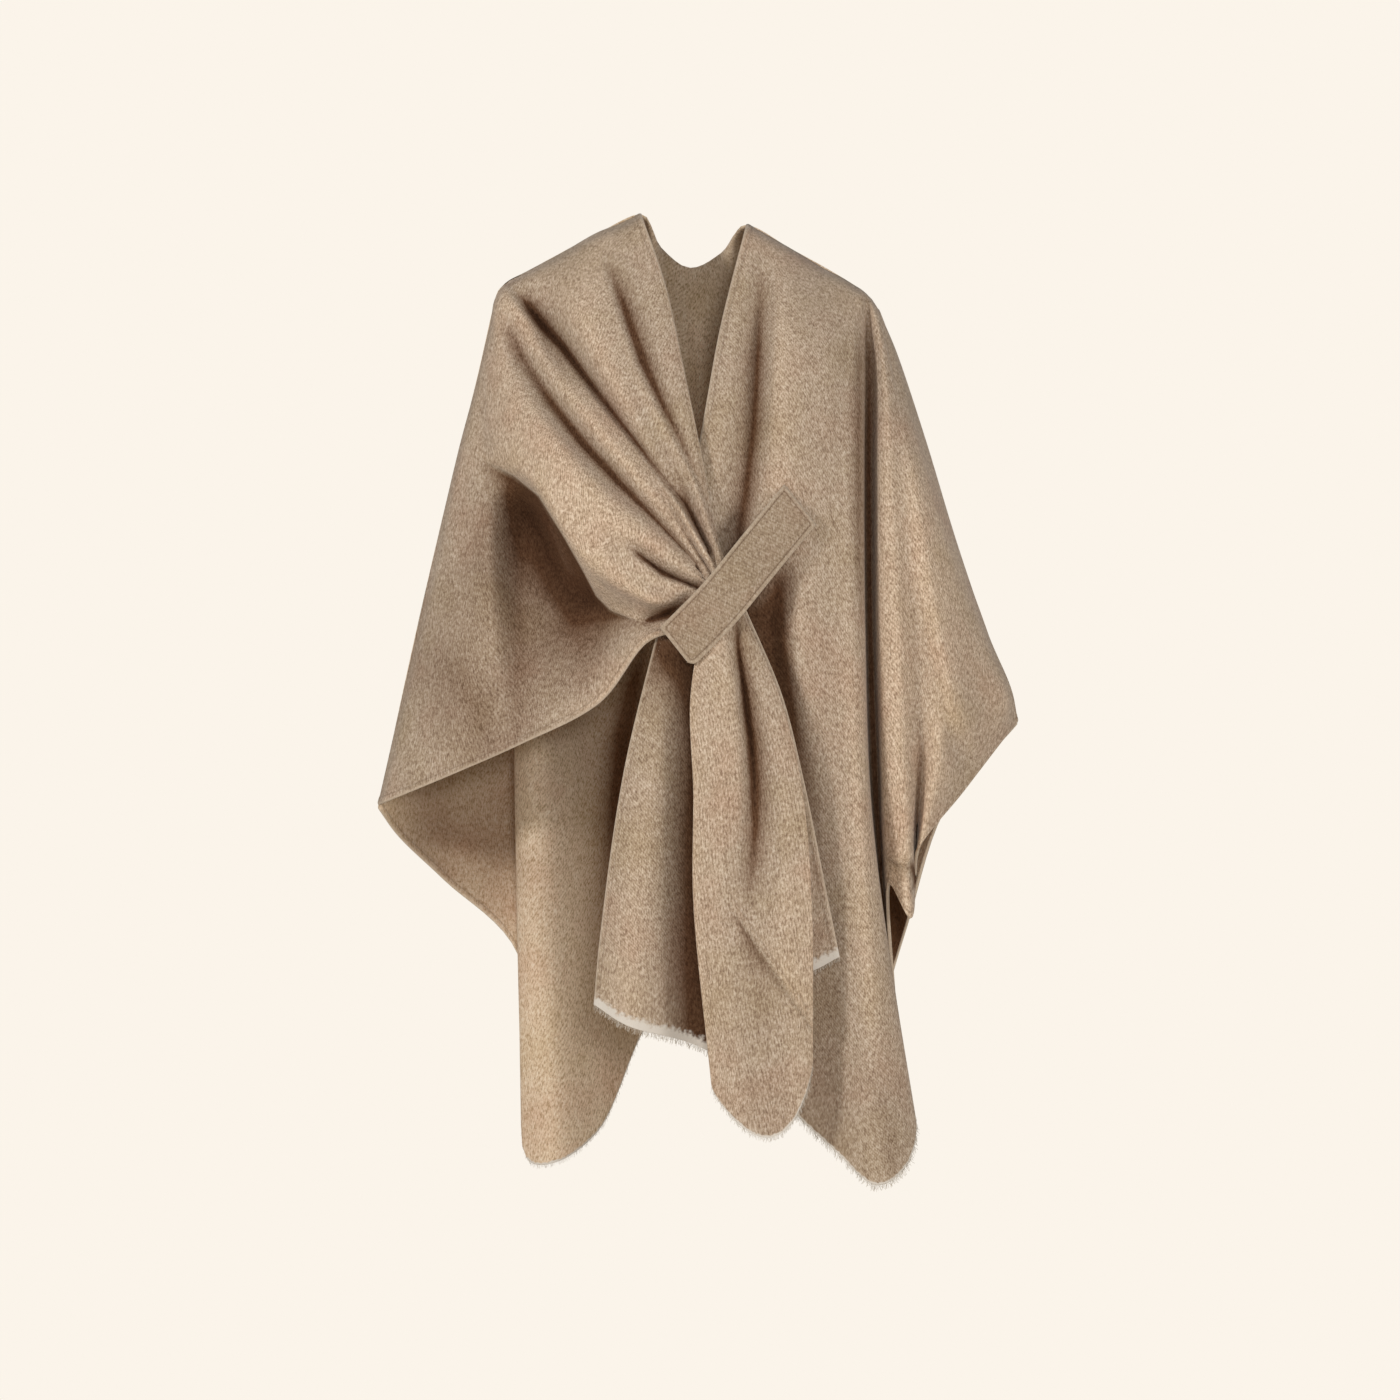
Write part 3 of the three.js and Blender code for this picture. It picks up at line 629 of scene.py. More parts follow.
def plain_yarn(name, colour, shade):
    """Spun wool yarn left loose or sewn through: matt, slightly uneven in tone along its length."""
    material, tree = empty_material(name)
    place = add_node(tree, "ShaderNodeTexCoord", output="Object")
    uneven = add_node(
        tree, "ShaderNodeTexNoise", {"Scale": 1 / YARN_UNEVEN, "Detail": 2.0, "Vector": place}, "Fac")
    tone = add_node(tree, "ShaderNodeValToRGB", {"Fac": uneven})
    stops = tone.node.color_ramp.elements
    stops[0].position, stops[0].color = 0.35, linear(shade)
    stops[1].position, stops[1].color = 0.65, linear(colour)
    relief = add_node(tree, "ShaderNodeBump", {"Strength": 0.3, "Distance": 0.0002, "Height": uneven})
    shader = add_node(tree, "ShaderNodeBsdfPrincipled", {
        "Roughness": 0.95, "Sheen Weight": 0.2, "Base Color": tone, "Normal": relief})
    add_node(tree, "ShaderNodeOutputMaterial", {"Surface": shader})
    return material


def node_tree(name, sizes):
    """A Geometry Nodes tree that takes a line mesh, its sizes, a seed and a material."""
    tree = bpy.data.node_groups.new(name, "GeometryNodeTree")
    sockets = [("Geometry", "Geometry", None), *((label, "Float", size) for label, size in sizes.items()),
               ("Seed", "Int", 1), ("Material", "Material", None)]
    for label, kind, value in sockets:
        socket = tree.interface.new_socket(label, in_out="INPUT", socket_type="NodeSocket" + kind)
        if value is not None:
            socket.default_value = value
    tree.interface.new_socket("Geometry", in_out="OUTPUT", socket_type="NodeSocketGeometry")
    return tree, add_node(tree, "NodeGroupInput").node.outputs


def swept_thread(tree, bends, radius, sides, pieces):
    """One short thread as a capped tube, bent by three points given as {axis: place}."""
    start, middle, end = (add_node(tree, "ShaderNodeCombineXYZ", bend) for bend in bends)
    line = add_node(tree, "GeometryNodeCurveQuadraticBezier", {
        "Resolution": pieces, "Start": start, "Middle": middle, "End": end})
    ring = add_node(tree, "GeometryNodeCurvePrimitiveCircle", {"Resolution": sides, "Radius": radius})
    return add_node(
        tree, "GeometryNodeCurveToMesh", {"Fill Caps": True, "Curve": line, "Profile Curve": ring})


def placed_along(tree, inputs, spacing, thread, turn, size=1.0):
    """Threads put along the tree's lines, made real, smooth and given their material."""
    line = add_node(tree, "GeometryNodeMeshToCurve", {"Mesh": inputs["Geometry"]})
    spaced = add_node(
        tree, "GeometryNodeResampleCurve", {"mode": "LENGTH", "Curve": line, "Length": inputs[spacing]})
    placed = {"Points": spaced, "Instance": thread, "Rotation": turn}
    if size != 1.0:
        placed["Scale"] = size
    threads = add_node(tree, "GeometryNodeInstanceOnPoints", placed)
    real = add_node(tree, "GeometryNodeRealizeInstances", {"Geometry": threads})
    smooth = add_node(tree, "GeometryNodeSetShadeSmooth", {"Geometry": real})
    dyed = add_node(
        tree, "GeometryNodeSetMaterial", {"Geometry": smooth, "Material": inputs["Material"]})
    add_node(tree, "NodeGroupOutput", {"Geometry": dyed})
    return tree


def topstitch_tree():
    """Short stitches along a seam, each arched over the cloth and drawn in at its ends."""
    tree, inputs = node_tree("Topstitch", {"Pitch": 0.0036, "Length": 0.0026, "Thread": 0.0005})
    reach, back, drawn_in, proud, radius = (
        add_node(tree, "ShaderNodeMath", {"operation": "MULTIPLY", 0: inputs[size], 1: share})
        for size, share in (
            ("Length", 0.5), ("Length", -0.5), ("Thread", -0.9), ("Thread", 0.9), ("Thread", 0.5)))
    bends = {"X": back, "Z": drawn_in}, {"Z": proud}, {"X": reach, "Z": drawn_in}
    thread = swept_thread(tree, bends, radius, 5, 4)
    tangent = add_node(tree, "GeometryNodeInputTangent")
    out = add_node(tree, "GeometryNodeInputNamedAttribute", {"data_type": "FLOAT_VECTOR", "Name": "out"})
    lengthwise = add_node(tree, "FunctionNodeAlignRotationToVector", {"axis": "X", "Vector": tangent})
    upright = add_node(tree, "FunctionNodeAlignRotationToVector", {
        "axis": "Z", "pivot_axis": "X", "Rotation": lengthwise, "Vector": out})
    return placed_along(tree, inputs, "Pitch", thread, upright)


def fray_tree():
    """Loose ends of yarn that leave a cut selvedge, each its own length and direction."""
    tree, inputs = node_tree(
        "Frayed_selvedge", {"Spacing": 0.0007, "Length": 0.006, "Thread": 0.00035, "Spread": 0.5})
    root, bow, half_way, radius, less = (
        add_node(tree, "ShaderNodeMath", {"operation": "MULTIPLY", 0: inputs[size], 1: share})
        for size, share in (
            ("Length", -0.15), ("Length", 0.18), ("Length", 0.55), ("Thread", 0.5), ("Spread", -1.0)))
    bends = {"Z": root}, {"X": bow, "Z": half_way}, {"Z": inputs["Length"]}
    thread = swept_thread(tree, bends, radius, 3, 4)
    fall = add_node(tree, "GeometryNodeInputNamedAttribute", {"data_type": "FLOAT_VECTOR", "Name": "out"})
    least, most = (
        add_node(tree, "ShaderNodeCombineXYZ", {"X": spread, "Y": spread, "Z": spread})
        for spread in (less, inputs["Spread"]))
    scatter = add_node(tree, "FunctionNodeRandomValue", {
        "data_type": "FLOAT_VECTOR", "Min": least, "Max": most, "Seed": inputs["Seed"]})
    leaving = add_node(tree, "ShaderNodeVectorMath", {"operation": "ADD", 0: fall, 1: scatter})
    aimed = add_node(tree, "FunctionNodeAlignRotationToVector", {"axis": "Z", "Vector": leaving})
    twist = add_node(tree, "FunctionNodeRandomValue", {
        "data_type": "FLOAT_VECTOR", "Min": (0, 0, 0), "Max": (0, 0, 2 * math.pi),
        "Seed": inputs["Seed"]})
    twist = add_node(tree, "FunctionNodeEulerToRotation", {"Euler": twist})
    turned = add_node(tree, "FunctionNodeRotateRotation", {
        "rotation_space": "LOCAL", "Rotation": aimed, "Rotate By": twist})
    size = add_node(tree, "FunctionNodeRandomValue", {
        "data_type": "FLOAT", 2: 0.35, 3: 1.15, "Seed": inputs["Seed"]}, 1)
    return placed_along(tree, inputs, "Spacing", thread, turned, size)


def unbroken(points):
    """Runs of two or more points from a row in which None marks a gap."""
    runs = [[]]
    for point in points:
        if point is None:
            runs.append([])
        else:
            runs[-1].append(point)
    return [run for run in runs if len(run) > 1]


def inset_line(distance, points, normals, half, use, inset, face):
    """Runs of points on one face of the cloth, a set way in from an edge; breaks where unused."""
    row = []
    for k in range(len(distance)):
        if distance[k, -1] <= inset or not use[k]:
            row.append(None)
            continue
        at, out = (
            np.array([np.interp(inset, distance[k], field[k, :, axis]) for axis in range(3)])
            for field in (points, normals))
        rise = np.interp(inset, distance[k], half[k]) - STITCH_SINK
        row.append((at + out * face * rise, out * face))
    return unbroken(row)


def line_mesh(name, runs):
    """Open lines as a mesh of edges, each point with its outward direction."""
    places, edges, out = [], [], []
    for run in runs:
        first = len(places)
        places += [tuple(p * MM) for p, _ in run]
        out += [n for _, n in run]
        edges += [(first + k, first + k + 1) for k in range(len(run) - 1)]
    mesh = bpy.data.meshes.new(name)
    mesh.from_pydata(places, edges, [])
    mesh.attributes.new("out", "FLOAT_VECTOR", "POINT").data.foreach_set(
        "vector", np.array(out, np.float32).reshape(-1))
    return mesh


def grow(name, runs, tree, sizes, material):
    """Runs a tree on its lines, keeps the result as a plain mesh and puts it on the garment."""
    piece = link(name, line_mesh(name, runs))
    modifier = piece.modifiers.new("grow", "NODES")
    modifier.node_group = tree
    for item in tree.interface.items_tree:
        if item.item_type == "SOCKET" and item.in_out == "INPUT":
            if item.name in sizes:
                modifier[item.identifier] = sizes[item.name]
            if item.name == "Material":
                modifier[item.identifier] = material
    bpy.context.view_layer.update()
    made = piece.evaluated_get(bpy.context.evaluated_depsgraph_get())
    mesh = bpy.data.meshes.new_from_object(made)
    piece.modifiers.remove(modifier)
    piece.data = mesh
    mesh.name = name
    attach(piece, "root")
    return piece


def finish_piece(piece, node, material, reverse=None):
    """Gives a piece its cloth, and its reverse face another where it shows, and puts it in its place."""
    piece.data.materials.append(material)
    if reverse is not None:
        piece.data.materials.append(reverse)
        count = len(piece.data.polygons)
        which = np.zeros(count, np.int32)
        which[piece["face_count"]:2 * piece["face_count"]] = 1
        piece.data.polygons.foreach_set("material_index", which)
    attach(piece, "root")
    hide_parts(node)


def make_panel(node, table, cell, slot, material, sewn_ends, selvedge, reverse=None, from_seam=True,
               side=None, shape=None, wide_lines=NOWHERE, folded=None, shade=(), inner_shade=()):
    """One panel of the garment, with its hems, selvedge and shade.

    `sewn_ends` names its hemmed ends, `selvedge` the lines between which its lower end is frayed and
    `wide_lines` those where the selvedge is wide. `side` is -1 in front of the shoulder seam and 1
    behind it, `shape` adds its folds, and `folded` marks the edge of a pleat. The marks are distances
    in mm from the sewn and frayed edges, and how far a point lies below its surroundings; the last
    paints shade into hollows and highlights onto crests, and `shade` and `inner_shade` add more painted
    shade and painted highlights beside the borders of folds.
    """
    grid = drape(table, cell, from_seam)
    normals = grid_normals(grid)
    facing = np.sign(normals[..., 1].mean() * (side or -1))
    if shape is not None:
        grid = shape(grid, np.array([0.0, side or -1, 0.0]))
        normals = grid_normals(grid)
    along = run_along(grid, 0)
    across = run_along(grid, 1)
    from_end = along[-1:] - along
    lines = np.swapaxes(drape_lines(table, from_seam), 0, 1)
    line_at = steps(lines, cell[1], True, True) * (len(table) - 1)
    first, last = selvedge
    soft = ease(line_at, first - 0.6, first) * (1 - ease(line_at, last, last + 0.6))
    low, high = wide_lines
    wide = ease(line_at, low - 0.3, low + 0.3) * (1 - ease(line_at, high - 0.3, high + 0.3))
    sewn = np.full(grid.shape[:2], FAR)
    if "first" in sewn_ends:
        sewn = np.minimum(sewn, across)
    if "last" in sewn_ends:
        sewn = np.minimum(sewn, across[:, -1:] - across)
    if "end" in sewn_ends:
        sewn = np.minimum(sewn, from_end + FAR * soft)
    thin = SELVEDGE / SELVEDGE_THIN
    frayed = from_end * (thin + (1 - thin) * wide) + FAR * (1 - soft)
    middle = grid.shape[1] // 2
    uv = np.stack([across - across[:, middle:middle + 1], -along], -1)
    # Hollow marks: painted shade in hollows and painted highlights on crests, with more of both beside
    # fold borders
    deep = below_surroundings(grid, normals, cell) * facing
    outer = beside_borders(grid, deep, shade)
    inner = beside_borders(grid, -deep * INSIDE_HOLLOW, inner_shade)
    if folded is not None:
        sewn, outer = folded(grid, sewn, outer)
    both = (outer, inner) if facing > 0 else (inner, outer)
    marks = {"sewn": (sewn, sewn), "frayed": (frayed, frayed), "hollow": both}
    half = hem_half(sewn, frayed)
    piece = shell(node + "_cloth", grid, half, normals, uv, marks, side)
    finish_piece(piece, node, material, reverse)
    return {
        "piece": piece, "grid": grid, "normals": normals, "half": half, "slot": slot, "across": across,
        "from_end": from_end, "soft": soft, "sewn_ends": sewn_ends}


def seam_lines(panel, inset):
    """Lines for stitches on both faces of a panel, along its sewn ends."""
    fields = [panel[key] for key in ("across", "grid", "normals", "half")]
    from_last = [panel["across"][:, -1:] - panel["across"], *fields[1:]]
    whole = np.ones(len(panel["grid"]), bool)
    runs = []
    for face in (1, -1):
        if "first" in panel["sewn_ends"]:
            runs += inset_line(*fields, whole, inset, face)
        if "last" in panel["sewn_ends"]:
            runs += inset_line(*(field[:, ::-1] for field in from_last), whole, inset, face)
        if "end" in panel["sewn_ends"]:
            turned = [np.swapaxes(field, 0, 1)[:, ::-1] for field in (panel["from_end"], *fields[1:])]
            runs += inset_line(*turned, np.ravel(panel["soft"]) < 0.5, inset, face)
    return runs


def selvedge_lines(panel):
    """The frayed lower end of a panel as lines, each point with the way its yarns fall."""
    grid, soft = panel["grid"], np.ravel(panel["soft"])
    row = []
    for k in range(grid.shape[1]):
        if soft[k] < 0.5:
            row.append(None)
            continue
        fall = grid[-1, k] - grid[-4, k]
        fall = fall / np.linalg.norm(fall) - np.array([0, 0, FRAY_FALL])
        row.append((grid[-1, k], fall / np.linalg.norm(fall)))
    return unbroken(row)


WEAVE = {"light": "#E0D0BD", "middle": "#BDA790", "dark": "#8F7864"}
# The inner face is the same cloth as the outer, painted paler and warmer as painted light inside the
# garment
PAINTED_LIGHTER_INSIDE_WEAVE = {"light": "#F8E8D2", "middle": "#E4CBAE", "dark": "#B49877"}
# The band is the same cloth painted darker, as painted shade
BAND_WEAVE = {"light": "#CBBAA6", "middle": "#AE9880", "dark": "#8A7560"}

outer_left = wool_twill("Brushed_wool_twill_left", **WEAVE, lean=-1, streak=28)
outer_right = wool_twill("Brushed_wool_twill_right", **WEAVE, lean=-1, streak=-14)
hanging = wool_twill("Brushed_wool_twill_hanging", **WEAVE, lean=0, turn=8, streak=8)
outer_back = wool_twill("Brushed_wool_twill_back", **WEAVE, lean=-1, streak=30)
inside = wool_twill("Wool_twill_reverse_painted_lighter", **PAINTED_LIGHTER_INSIDE_WEAVE, lean=1, streak=-30, roughness=0.95)
strap_cloth = wool_twill("Wool_twill_band_painted_darker", **BAND_WEAVE, lean=1, turn=20, streak=35,
                         rim_share=0.6, rim_reach=6.0, groove_share=0.55, roughness=0.9)


def cloth_tree(piece):
    """A piece's faces, ready to be met by a ray."""
    return BVHTree.FromPolygons(
        [v.co for v in piece.data.vertices], [p.vertices for p in piece.data.polygons])


def met_from_front(tree, x, z):
    """Depth in mm at which a ray from the front meets a piece, or None."""
    hit = tree.ray_cast(Vector((x * MM, -1, z * MM)), Vector((0, 1, 0)))[0]
    return hit.y / MM if hit else None


def lapped(grid, outward, folds, where=1.0, taper=1.0):
    """The lapped folds of one table, made one after another."""
    for turn, steep, gentle, path in folds:
        grid = lapped_fold(grid, outward, path, steep * taper, gentle * taper, turn, where)
    return grid


def troughs(grid, outward, folds):
    """The soft troughs and ridges of one table, made one after another."""
    for width, path in folds:
        grid = trough(grid, outward, path, width)
    return grid


def pressed_under(grid, above, gap):
    """Moves a panel back where the piece that lies on it would sink into it."""
    tree = cloth_tree(above)
    out = grid.copy()
    for point in out.reshape(-1, 3):
        if point[1] < 0 and point[2] > OVERLAP_LOW and point[0] > OVERLAP_RIGHT:
            met = met_from_front(tree, point[0], point[2])
            if met is not None and met < 0:
                point[1] = max(point[1], met + gap)
    return out


def gather_folds(grid, outward):
    """The right front's folds, which narrow as they run together into the band."""
    from_band = np.hypot(grid[..., 0] - GATHER_POINT[0], grid[..., 2] - GATHER_POINT[1])
    taper = GATHER_LEAST + (1 - GATHER_LEAST) * ease(from_band, GATHER_NEAR, GATHER_FAR)
    grid = lapped(grid, outward, GATHER_FOLDS, taper=taper)
    return troughs(grid, outward, DRAPE_TROUGHS)


def beside_borders(grid, deep, rows):
    """Painted shade added to the hollow marks beside the borders of folds, strongest at the border and
    less further off; minus amounts are painted highlights. Each row gives the side (0 is both), how
    softly it starts, its reach and the border."""
    for turn, start, reach, path in rows:
        away, amount = near_path(grid, path)
        beside = away * turn if turn else np.abs(away)
        there = ease(beside, -0.6 * start, start) if turn else 1.0
        share = np.exp(-np.maximum(beside, 0) / reach) * there
        level = np.clip(share * amount / CREST_LEVELLED, 0, 1) * np.maximum(-deep, 0)
        deep = deep + level + amount * share
    return deep


def pleat_place(grid):
    """Share along the lapped pleat's edge line, and the distance above it in mm."""
    (x0, z0), (x1, z1) = PLEAT_FROM, PLEAT_TO
    length = math.hypot(x1 - x0, z1 - z0)
    x, z = grid[..., 0], grid[..., 2]
    along = ((x - x0) * (x1 - x0) + (z - z0) * (z1 - z0)) / length**2
    above = ((x - x0) * (z0 - z1) + (z - z0) * (x1 - x0)) / length
    return along, above


def drop_pleat(grid):
    """The lapped pleat: the cloth above its edge line stands out by one step."""
    along, above = pleat_place(grid)
    face = grid[..., 1] <= HIDDEN_DEPTH
    out = grid.copy()
    out[..., 1] -= PLEAT_STEP * ease(along, -0.1, 0.3) * ease(above, -1.0, 2.0) * face
    return out


def pleat_edge(grid, sewn, deep):
    """The pleat's edge is a sewn hem: a pale rim above the line, a strip of painted shade below it."""
    along, above = pleat_place(grid)
    there = (grid[..., 1] <= FACE_DEPTH) & (along > -0.05) & (along < 1.05)
    hem = np.where(there & (above > -0.5), np.maximum(above, 0.0), FAR)
    below = PLEAT_SHADE * ease(along, -0.05, 0.15) * ease(along, 1.05, 0.8)
    below *= np.exp(-np.maximum(-above, 0) / PLEAT_SHADE_REACH)
    deep = deep + np.where(there & (above < 0.2), below, 0.0)
    return np.minimum(sewn, hem), deep


def tail_folds(grid, outward):
    """The hanging end: its sharp left border with the valley beside it, and the lapped pleat."""
    face = grid[..., 1] <= FACE_DEPTH
    grid = lapped(grid, outward, TAIL_FOLDS, face)
    return drop_pleat(grid)


def left_folds(grid, outward):
    """The left front's folds; where the right front lies over it, it is pressed back under it."""
    grid = lapped(grid, outward, LEFT_FOLDS)
    grid = troughs(grid, outward, LEFT_TROUGHS)
    return pressed_under(grid, right_front["piece"], CLOTH * 1.5 + SEAM_GAP)


def back_folds(grid, outward):
    """The back's soft folds, and the light unevenness of cloth that hangs free."""
    loose = UNEVEN * ease(-grid[..., 2], *UNEVEN_BELOW) * stray(UNEVEN_SEED, grid, UNEVEN_PITCH)
    return troughs(grid, outward, BACK_TROUGHS) + outward * loose[..., None]


# Lapped folds: the side on which the cloth drops (1 is to the right, going down the path), the widths
# of the steep and the slow side, and the crest's path as [across, up, depth of the trough beside it]
GATHER_FOLDS = [
    [-1, 8.0, 16.0, [[-182, -27, 0], [-172, -41, 8], [-156, -60, 13], [-124, -94, 16], [-92, -138, 17],
                     [-45, -197, 18], [-10, -242, 17], [14, -283, 11]]],
    [-1, 15.0, 20.0, [[-188, -58, 0], [-180, -80, 7], [-166, -108, 10], [-138, -152, 12],
                      [-106, -194, 13], [-74, -229, 13], [-34, -264, 10], [2, -297, 7]]],
    [-1, 7.0, 30.0, [[-92, 6, 0], [-80, -24, 5], [-66, -64, 10], [-50, -109, 12], [-30, -152, 12],
                     [4, -219, 10], [22, -270, 6]]],
    [-1, 8.0, 14.0, [[-64, -276, 0], [-52, -289, 9], [-27, -307, 14], [3, -319, 11]]],
    [1, 4.0, 30.0, [[-206, -190, 0], [-185, -200, 6], [-165, -211, 11], [-141, -231, 15],
                    [-118, -268, 17], [-100, -300, 17], [-87, -325, 15], [-74, -338, 10],
                    [-54, -346, 4], [-44, -348, 0]]],
]
# Soft troughs: the width and the path as [across, up, depth]. A minus depth is a ridge.
DRAPE_TROUGHS = [
    [12.0, [[-184, -150, 0], [-188, -205, -4], [-187, -270, -6], [-184, -350, -6], [-180, -420, -4],
            [-176, -480, 0]]],
    [7.0, [[-50, -350, 0], [-34, -346, 10], [-20, -341, 10], [-2, -328, 6]]],
]
# Painted shade beside a fold's border: the side, how softly it starts, how far it reaches, and the
# border as [across, up, amount]. Minus amounts are painted highlights.
RIGHT_SHADE = [
    [1, 1.5, 60.0, [[-200, -192, 0], [-186, -200, 4], [-165, -211, 11], [-141, -231, 15],
                    [-118, -268, 17], [-100, -300, 17], [-87, -325, 15], [-74, -338, 12],
                    [-54, -346, 8], [-44, -350, 6]]],
    [0, 1.0, 4.5, [[-46, -351, 4], [-34, -347, 22], [-22, -342, 34], [-14, -336, 16], [-2, -328, 8],
                   [3, -323, 4]]],
    [-1, 2.0, 7.0, [[-56, -285, 0], [-50, -291, 6], [-27, -309, 9], [3, -320, 8]]],
    [-1, 3.0, 12.0, [[-178, -30, 2], [-156, -60, 5], [-124, -94, 5], [-92, -138, 6], [-45, -197, 8],
                     [-10, -242, 9], [14, -283, 8]]],
    [-1, 5.0, 26.0, [[-86, -10, 0], [-80, -24, 3], [-66, -64, 5], [-50, -109, 6], [-30, -152, 5],
                     [4, -219, 4], [22, -270, 3]]],
    [0, 1.0, 45.0, [[-222, -395, 7], [-205, -425, 8], [-190, -460, 7]]],
    [0, 1.0, 11.0, [[-125, -441, -6], [-85, -426, -20], [-60, -399, -30], [-38, -371, -28],
                    [-30, -360, -12]]],
    [0, 1.0, 26.0, [[-178, -140, -4], [-150, -185, -12], [-120, -225, -10], [-92, -275, -8]]],
]
LEFT_FOLDS = [
    [1, 14.0, 26.0, [[79, 8, 0], [79, -30, 6], [77, -100, 11], [73, -169, 11], [65, -225, 9],
                     [54, -290, 6]]],
    [1, 18.0, 30.0, [[101, -280, 0], [99, -310, 6], [94, -347, 10], [97, -384, 10], [106, -433, 8],
                     [114, -470, 6], [126, -533, 3], [136, -600, 0]]],
    [1, 2.5, 14.0, [[184, -566, 0], [190, -573, 6], [200, -576, 8], [206, -571, 6], [212, -562, 3],
                    [220, -556, 0]]],
]
LEFT_TROUGHS = [
    [16.0, [[150, -20, 0], [152, -90, 3], [146, -180, 4], [140, -300, 3], [138, -420, 0]]],
    [24.0, [[-4, -380, 0], [-2, -440, 5], [1, -540, 6], [4, -660, 6], [10, -760, 5]]],
    [10.0, [[198, -160, 0], [206, -203, -2], [222, -298, -4], [233, -368, -5], [247, -424, -5],
            [266, -466, -3]]],
    [8.0, [[214, -310, 0], [224, -370, 4], [236, -428, 5], [250, -480, 4]]],
]
LEFT_SHADE = [
    [1, 13.0, 26.0, [[79, 8, 0], [79, -30, 3], [77, -100, 6], [73, -169, 6], [65, -225, 5],
                     [56, -290, 5]]],
    [0, 1.0, 26.0, [[200, -150, 0], [212, -220, -8], [222, -300, -14], [228, -380, -12],
                    [226, -470, -6], [220, -540, -2]]],
    [1, 14.0, 60.0, [[101, -280, 0], [99, -310, 12], [94, -347, 18], [97, -384, 18], [106, -433, 13],
                     [114, -470, 9], [126, -533, 4], [136, -600, 0]]],
    [0, 1.0, 7.0, [[168, -50, 0], [169, -107, 3], [169, -215, 4], [170, -356, 4], [176, -525, 5],
                   [184, -611, 6], [190, -660, 6], [196, -740, 2]]],
    [0, 1.0, 8.0, [[161, -50, 0], [158, -107, 7], [157, -170, 9], [157, -240, 9], [158, -300, 6],
                   [161, -380, 2], [164, -430, 0]]],
    [0, 1.0, 30.0, [[0, -395, 6], [4, -440, 4], [5, -540, 6], [8, -660, 6], [12, -770, 7]]],
    [0, 1.0, 24.0, [[-34, -366, 10], [-14, -384, 16], [-4, -400, 12], [0, -430, 6]]],
    [0, 1.0, 70.0, [[160, -720, 2], [180, -800, 4], [190, -860, 4]]],
    [0, 1.0, 3.0, [[206, -572, 0], [208, -580, 18], [211, -592, 18], [208, -602, 8]]],
    [0, 1.0, 8.0, [[192, -588, -14], [198, -605, -20], [204, -622, -18]]],
]
TAIL_FOLDS = [
    [-1, 7.0, 24.0, [[38, -352, 7], [41, -383, 8], [44, -407, 8], [46, -430, 8], [51, -461, 7],
                     [54, -497, 6], [56, -540, 4], [54, -590, 1], [50, -640, 0]]],
]
TAIL_SHADE = [
    [-1, 6.0, 28.0, [[38, -352, 8], [41, -383, 6], [44, -407, 6], [46, -430, 6], [51, -461, 5.5],
                     [54, -497, 5], [56, -540, 4], [52, -590, 3], [44, -650, 1.5], [36, -700, 0]]],
]
BACK_TROUGHS = [
    [9.0, [[8, -30, 0], [9, -80, 10], [11, -160, 13], [14, -240, 9], [20, -320, 0]]],
    [18.0, [[-120, -40, 0], [-128, -160, 7], [-140, -320, 9], [-150, -560, 7], [-152, -760, 3]]],
    [22.0, [[-40, -160, 0], [-44, -300, 6], [-50, -480, 9], [-52, -700, 6]]],
    [18.0, [[66, -60, 0], [72, -200, 7], [84, -420, 9], [92, -640, 7], [94, -800, 3]]],
    [20.0, [[160, -80, 0], [176, -240, 7], [186, -420, 8], [190, -560, 4]]],
]
# Painted shade on the back's inner face; the minus rows are painted highlights inside the neck
BACK_INNER_SHADE = [
    [0, 1.0, 18.0, [[-44, -372, 9], [-54, -410, 16], [-64, -460, 17], [-72, -520, 14], [-78, -600, 9],
                    [-84, -680, 4], [-90, -740, 0]]],
    [0, 1.0, 50.0, [[-240, -545, 5], [-180, -580, 6]]],
    [0, 1.0, 24.0, [[4, -40, -8], [8, -120, -12], [12, -200, -12], [16, -280, -6]]],
    [0, 1.0, 18.0, [[190, -600, 22], [198, -630, 24], [204, -660, 22]]],
    [0, 1.0, 6.0, [[-26, -70, 0], [-20, -110, 5], [-10, -170, 8], [-2, -230, 8], [8, -290, 7]]],
    [0, 1.0, 6.0, [[34, -60, 0], [30, -100, 6], [26, -160, 9], [22, -220, 8], [18, -270, 7]]],
]


back = make_panel(
    "back", BACK_PANEL, (5.0, 5.5), "inside_cloth", inside, ("end",), (4.0, 15.0),
    reverse=outer_back, side=1, shape=back_folds, inner_shade=BACK_INNER_SHADE)
right_front = make_panel(
    "right_front", RIGHT_FRONT, (2.1, 2.1), "cloth", outer_right, ("first", "last"),
    NOWHERE, side=-1, shape=gather_folds, shade=RIGHT_SHADE)
left_front = make_panel(
    "left_front", LEFT_FRONT, (4.0, 3.4), "cloth", outer_left, ("first", "end"), (-2.0, 7.4),
    side=-1, shape=left_folds, wide_lines=(-3, 3.4), shade=LEFT_SHADE)
tail = make_panel(
    "right_front_tail", RIGHT_FRONT_TAIL, (2.6, 1.9), "cloth", hanging, ("first", "last"), (-2.0, 20.0),
    from_seam=False, shape=tail_folds, folded=pleat_edge, wide_lines=(-3, 2.2), shade=TAIL_SHADE)


def unit_step(ends):
    """Unit vectors along the last step of a grid, given its last points and the ones before."""
    step = ends[0] - ends[1]
    return step / np.linalg.norm(step, axis=-1, keepdims=True)


